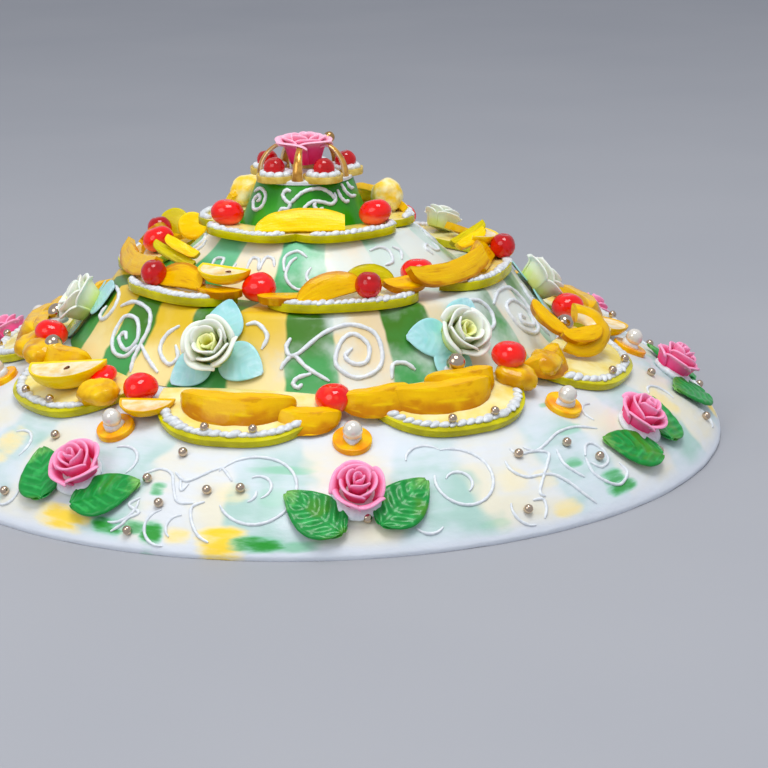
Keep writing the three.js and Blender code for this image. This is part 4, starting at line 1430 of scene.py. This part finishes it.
# Discs and slim slices propped up on the others: azimuth, radius, height, way they face, lean, slope
OLIVE_DISC_PLACE = (-129, 119, 119, -12, 66)
YELLOW_DISC_PLACE = (-125.5, 98, 120.5, 4, 66)
OLIVE_STICKS = [(-59, 102, 121, -30, 50, 22), (87, 101, 120, 42, 50, -16), (182, 102, 121, 210, 50, 22)]
LEMON_STICKS = [(-57, 98, 126, -30, 50, 22), (82, 103, 119, 42, 50, -16), (184, 98, 126, 210, 50, 22)]


def on_slab_2(azimuth, radius, lift, tip, spin):
    return seat(azimuth, radius, SLAB_2_TOP + lift, tip, spin)


def mid_places(places_by_kind):
    return on_slabs(MID_KINDS, GARLAND_2, on_slab_2, places_by_kind)


standing_places = [upside_down(place, STANDING_SLICE.depth) for place in mid_places(STANDING_SLICES)]
mid_slices = lay_out(peel_slice(*STANDING_SLICE), standing_places)
mid_slices += lay_out(cut_end(peel_slice(*LONG_SLICE), LONG_CUT), mid_places(LONG_SLICES))
mid_slices += lay_out(peel_slice(*BAR), mid_places(BARS))
settle("mid_slices", mid_slices, *MID, peel_finish)
olive_slice_place = upside_down(on_slab_2(*OLIVE_SLICE_PLACE), OLIVE_SLICE.depth)
olive_slices = lay_out(peel_slice(*OLIVE_SLICE), [olive_slice_place])
olive_slices += lay_out(peel_slice(*OLIVE_STICK), [propped(*place) for place in OLIVE_STICKS])
olive_slices += lay_out(candied_disc(*OLIVE_DISC), [propped(*OLIVE_DISC_PLACE)])
settle("olive_slices", olive_slices, *MID, olive_finish)
lemon_slices = lay_out(candied_disc(*YELLOW_DISC), [propped(*YELLOW_DISC_PLACE)])
lemon_slices += lay_out(peel_slice(*LEMON_STICK), [propped(*place) for place in LEMON_STICKS])
settle("lemon_slices", lemon_slices, *MID, lemon_finish)
mid_boats = lay_out(fruit_boat(*MID_BOAT, lemon_finish, flesh_finish), mid_places(MID_BOATS))
settle("mid_boats", mid_boats, *MID)
mid_seed_places = [place @ moved(7, 9, 10.5) @ turn(20) for place in mid_places(MID_BOATS)]
scatter("mid_seeds", icing_shell(*MID_SEED), mid_seed_places, *MID, seed_finish)

# Cherries of the second ledge, the first of which lies lower, between the ends of two slabs
SMALL_CHERRIES = [(-54.8, 119), (15.8, 119), (84, 122), (166, 119), (237, 122)]
mid_cherry_places = [seat(-18, 105, SLAB_2_TOP + 5.1)]
mid_cherry_places += [seat(azimuth, 105, SLAB_2_TOP + 8.7) for azimuth in (37, 145, 184, 216, 254)]
scatter("mid_cherries", candied_cherry(*CHERRY), tumbled(mid_cherry_places), numbered("cherry_mid", 6),
        "candied_cherry", cherry_finish)
small_cherry_places = [seat(azimuth, radius, SLAB_2_TOP + 8.3) for azimuth, radius in SMALL_CHERRIES]
scatter("small_cherries", candied_cherry(*SMALL_CHERRY), tumbled(small_cherry_places),
        numbered("cherry_small", 5), "glossy_cherry", dark_cherry_finish)


# Third ledge
lay_garland("top", TOP, GARLAND_3, lambda radius: TIER_4.bottom, TOP_SHELL, 3, TOP_SHIFT)
lemon_places = [TOP_SHIFT @ upside_down(seat(azimuth, 55, SLAB_3_TOP - 0.5, 50), TOP_SLICE.depth)
                for azimuth in (0, 122, 214)]
lemon_slice = cut_end(peel_slice(*TOP_SLICE), TOP_CUT)
lemon_slice.data.transform(Matrix.Scale(-1, 4, (1, 0, 0)))
lemon_slice.data.flip_normals()
scatter("top_slices", lemon_slice, lemon_places, *TOP, lemon_finish)
top_cherry_places = [TOP_SHIFT @ seat(azimuth, 54, SLAB_3_TOP + 7.2) for azimuth in (-65, 54, 172)]
scatter("top_cherries", candied_cherry(*CHERRY), tumbled(top_cherry_places), ["citron_top"],
        "candied_cherry", cherry_finish)
chunk_places = [TOP_SHIFT @ seat(azimuth, 53, SLAB_3_TOP - sunk) for azimuth, sunk in ((100, 1), (-136, 2))]
scatter("lemon_chunks", fruit_chunk(*LEMON_CHUNK), chunk_places, *TOP, chunk_finish)


# Flowers
rose_places = [on_dome(*place, 1.0) @ turn(40 * k) for k, place in enumerate(ROSE_PLACES)]
scatter("pink_roses", rose(OPEN_ROSE), rose_places, *ROSES, rose_finish)
pad = bead(ROSE_PAD, flatness=0.28)
pad.data.transform(moved(0, -2.5, 1.8))
pad_places = [on_dome(*place) for place in ROSE_PLACES]
scatter("rose_pads", pad, pad_places, *ROSES, icing_finish)
settle("rose_leaves", rose_leaves(), *ROSES, leaf_finish)
wafer_places = [on_wall(TIER_2, azimuth, WAFER_UP, 30 * k, 2.0) @ Matrix.Scale(1.08, 4)
                for k, azimuth in enumerate(WAFER_AZIMUTHS)]
wafer_places.append(seat(131, 113.5, SLAB_2_TOP + 2.5, 25) @ Matrix.Scale(0.85, 4))
scatter("wafer_roses", rose(WAFER_ROSE), wafer_places, *WAFERS, wafer_finish)
scatter("wafer_hearts", rose(WAFER_HEART), wafer_places, *WAFERS, heart_finish)
settle("wafer_leaves", wafer_leaves(), *WAFERS, wafer_leaf_finish)


# Crown
TRAY_REACH, TRAY_FIRST, STRIP_FIRST, CROWN_COUNT = 25, -45, -9, 5
HUB_PROFILE = [(29.4, -1.2), (30.8, -0.4), (30.8, 1.4), (28, 2.4)]
crown_foot = TOP_SHIFT @ lifted(CROWN_FOOT)
tray_places = [crown_foot @ turn(azimuth) @ moved(0, -TRAY_REACH, 0)
               for azimuth in spread(CROWN_COUNT, TRAY_FIRST)]
strip_places = [crown_foot @ turn(azimuth) for azimuth in spread(CROWN_COUNT, STRIP_FIRST)]
mound_places = [place @ turn(angle) @ moved(7.6, 0, 4.2) @ turn(70)
                for place in tray_places for angle in range(0, 360, 40)]
crown_cherry_places = [place @ moved(0, -1.5, 9.0) for place in tray_places]
scatter("crown_trays", crown_tray(*CROWN_TRAY), tray_places, *PLATE, tray_finish)
scatter("crown_hub", turned(HUB_PROFILE, 72), [crown_foot], *PLATE, icing_finish)
scatter("crown_strips", crown_strip(), strip_places, *PLATE, strip_finish)
scatter("crown_knob", bead(KNOB), [crown_foot @ seat(128, 20.4, 22.6)], *PLATE, gold_finish)
scatter("crown_icing", icing_shell(*TRAY_SHELL), mound_places, *PLATE, border_finish)
scatter("crown_cherries", candied_cherry(*TRAY_CHERRY), tumbled(crown_cherry_places), ["crown_plate"],
        "glossy_cherry", dark_cherry_finish)
scatter("crown_rose_petals", rose(CROWN_ROSE), [crown_foot @ lifted(8.3)], ["crown_rose"], "pink_sugar",
        crown_rose_finish)


# The room: a pale floor, soft light and the camera where the photograph was taken

def pale_floor():
    cover = Finish("pale_floor")
    greys = cover.blend(cover.noise(300, 2), (158, 160, 166), (168, 169, 173))
    cover.set(colour=greys, roughness=0.7)
    floor = add(bpy.ops.mesh.primitive_plane_add, size=8)
    floor.name = "floor"
    paint(floor, cover.material)


def soft_light(name, place, aim, size, power, mirrored):
    """A round light. One that isn't mirrored lights the cake but leaves no sheen on it."""
    lamp = add(bpy.ops.object.light_add, type="AREA", location=place)
    lamp.visible_glossy = mirrored
    lamp.name = name
    lamp.data.shape = "DISK"
    lamp.data.size = size
    lamp.data.energy = power
    lamp.rotation_euler = (Vector(aim) - Vector(place)).to_track_quat("-Z", "Y").to_euler()


def sky(colour, strength):
    world = bpy.data.worlds.new("sky")
    bpy.context.scene.world = world
    world.use_nodes = True
    background = next(node for node in world.node_tree.nodes if node.type == "BACKGROUND")
    background.inputs["Color"].default_value = colour
    background.inputs["Strength"].default_value = strength


def camera():
    distance, elevation, pitch, yaw, roll = 1.4, 16.81, 15.85, 1.90, -0.81
    eye = add(bpy.ops.object.camera_add)
    eye.name = "photo_camera"
    eye.data.lens = 99.84
    eye.data.sensor_width = 36.0
    angle = math.radians(elevation)
    place = moved(0, -distance * math.cos(angle), distance * math.sin(angle))
    eye.matrix_world = place @ turn(-yaw) @ turn(90 - pitch, "X") @ turn(roll)
    bpy.context.scene.camera = eye


pale_floor()
soft_light("overhead_light", (-0.2, -0.3, 2.4), (0, 0, 0.05), 2.6, 14, mirrored=False)
soft_light("side_light", (-1.3, -1.4, 1.3), (0, 0, 0.08), 1.4, 10, mirrored=True)
soft_light("window_light", (0.15, -0.6, 2.3), (0, 0, 0.08), 1.1, 24, mirrored=True)
sky((0.86, 0.9, 1.0, 1.0), 0.58)
camera()
bpy.context.scene.view_settings.view_transform = "Standard"
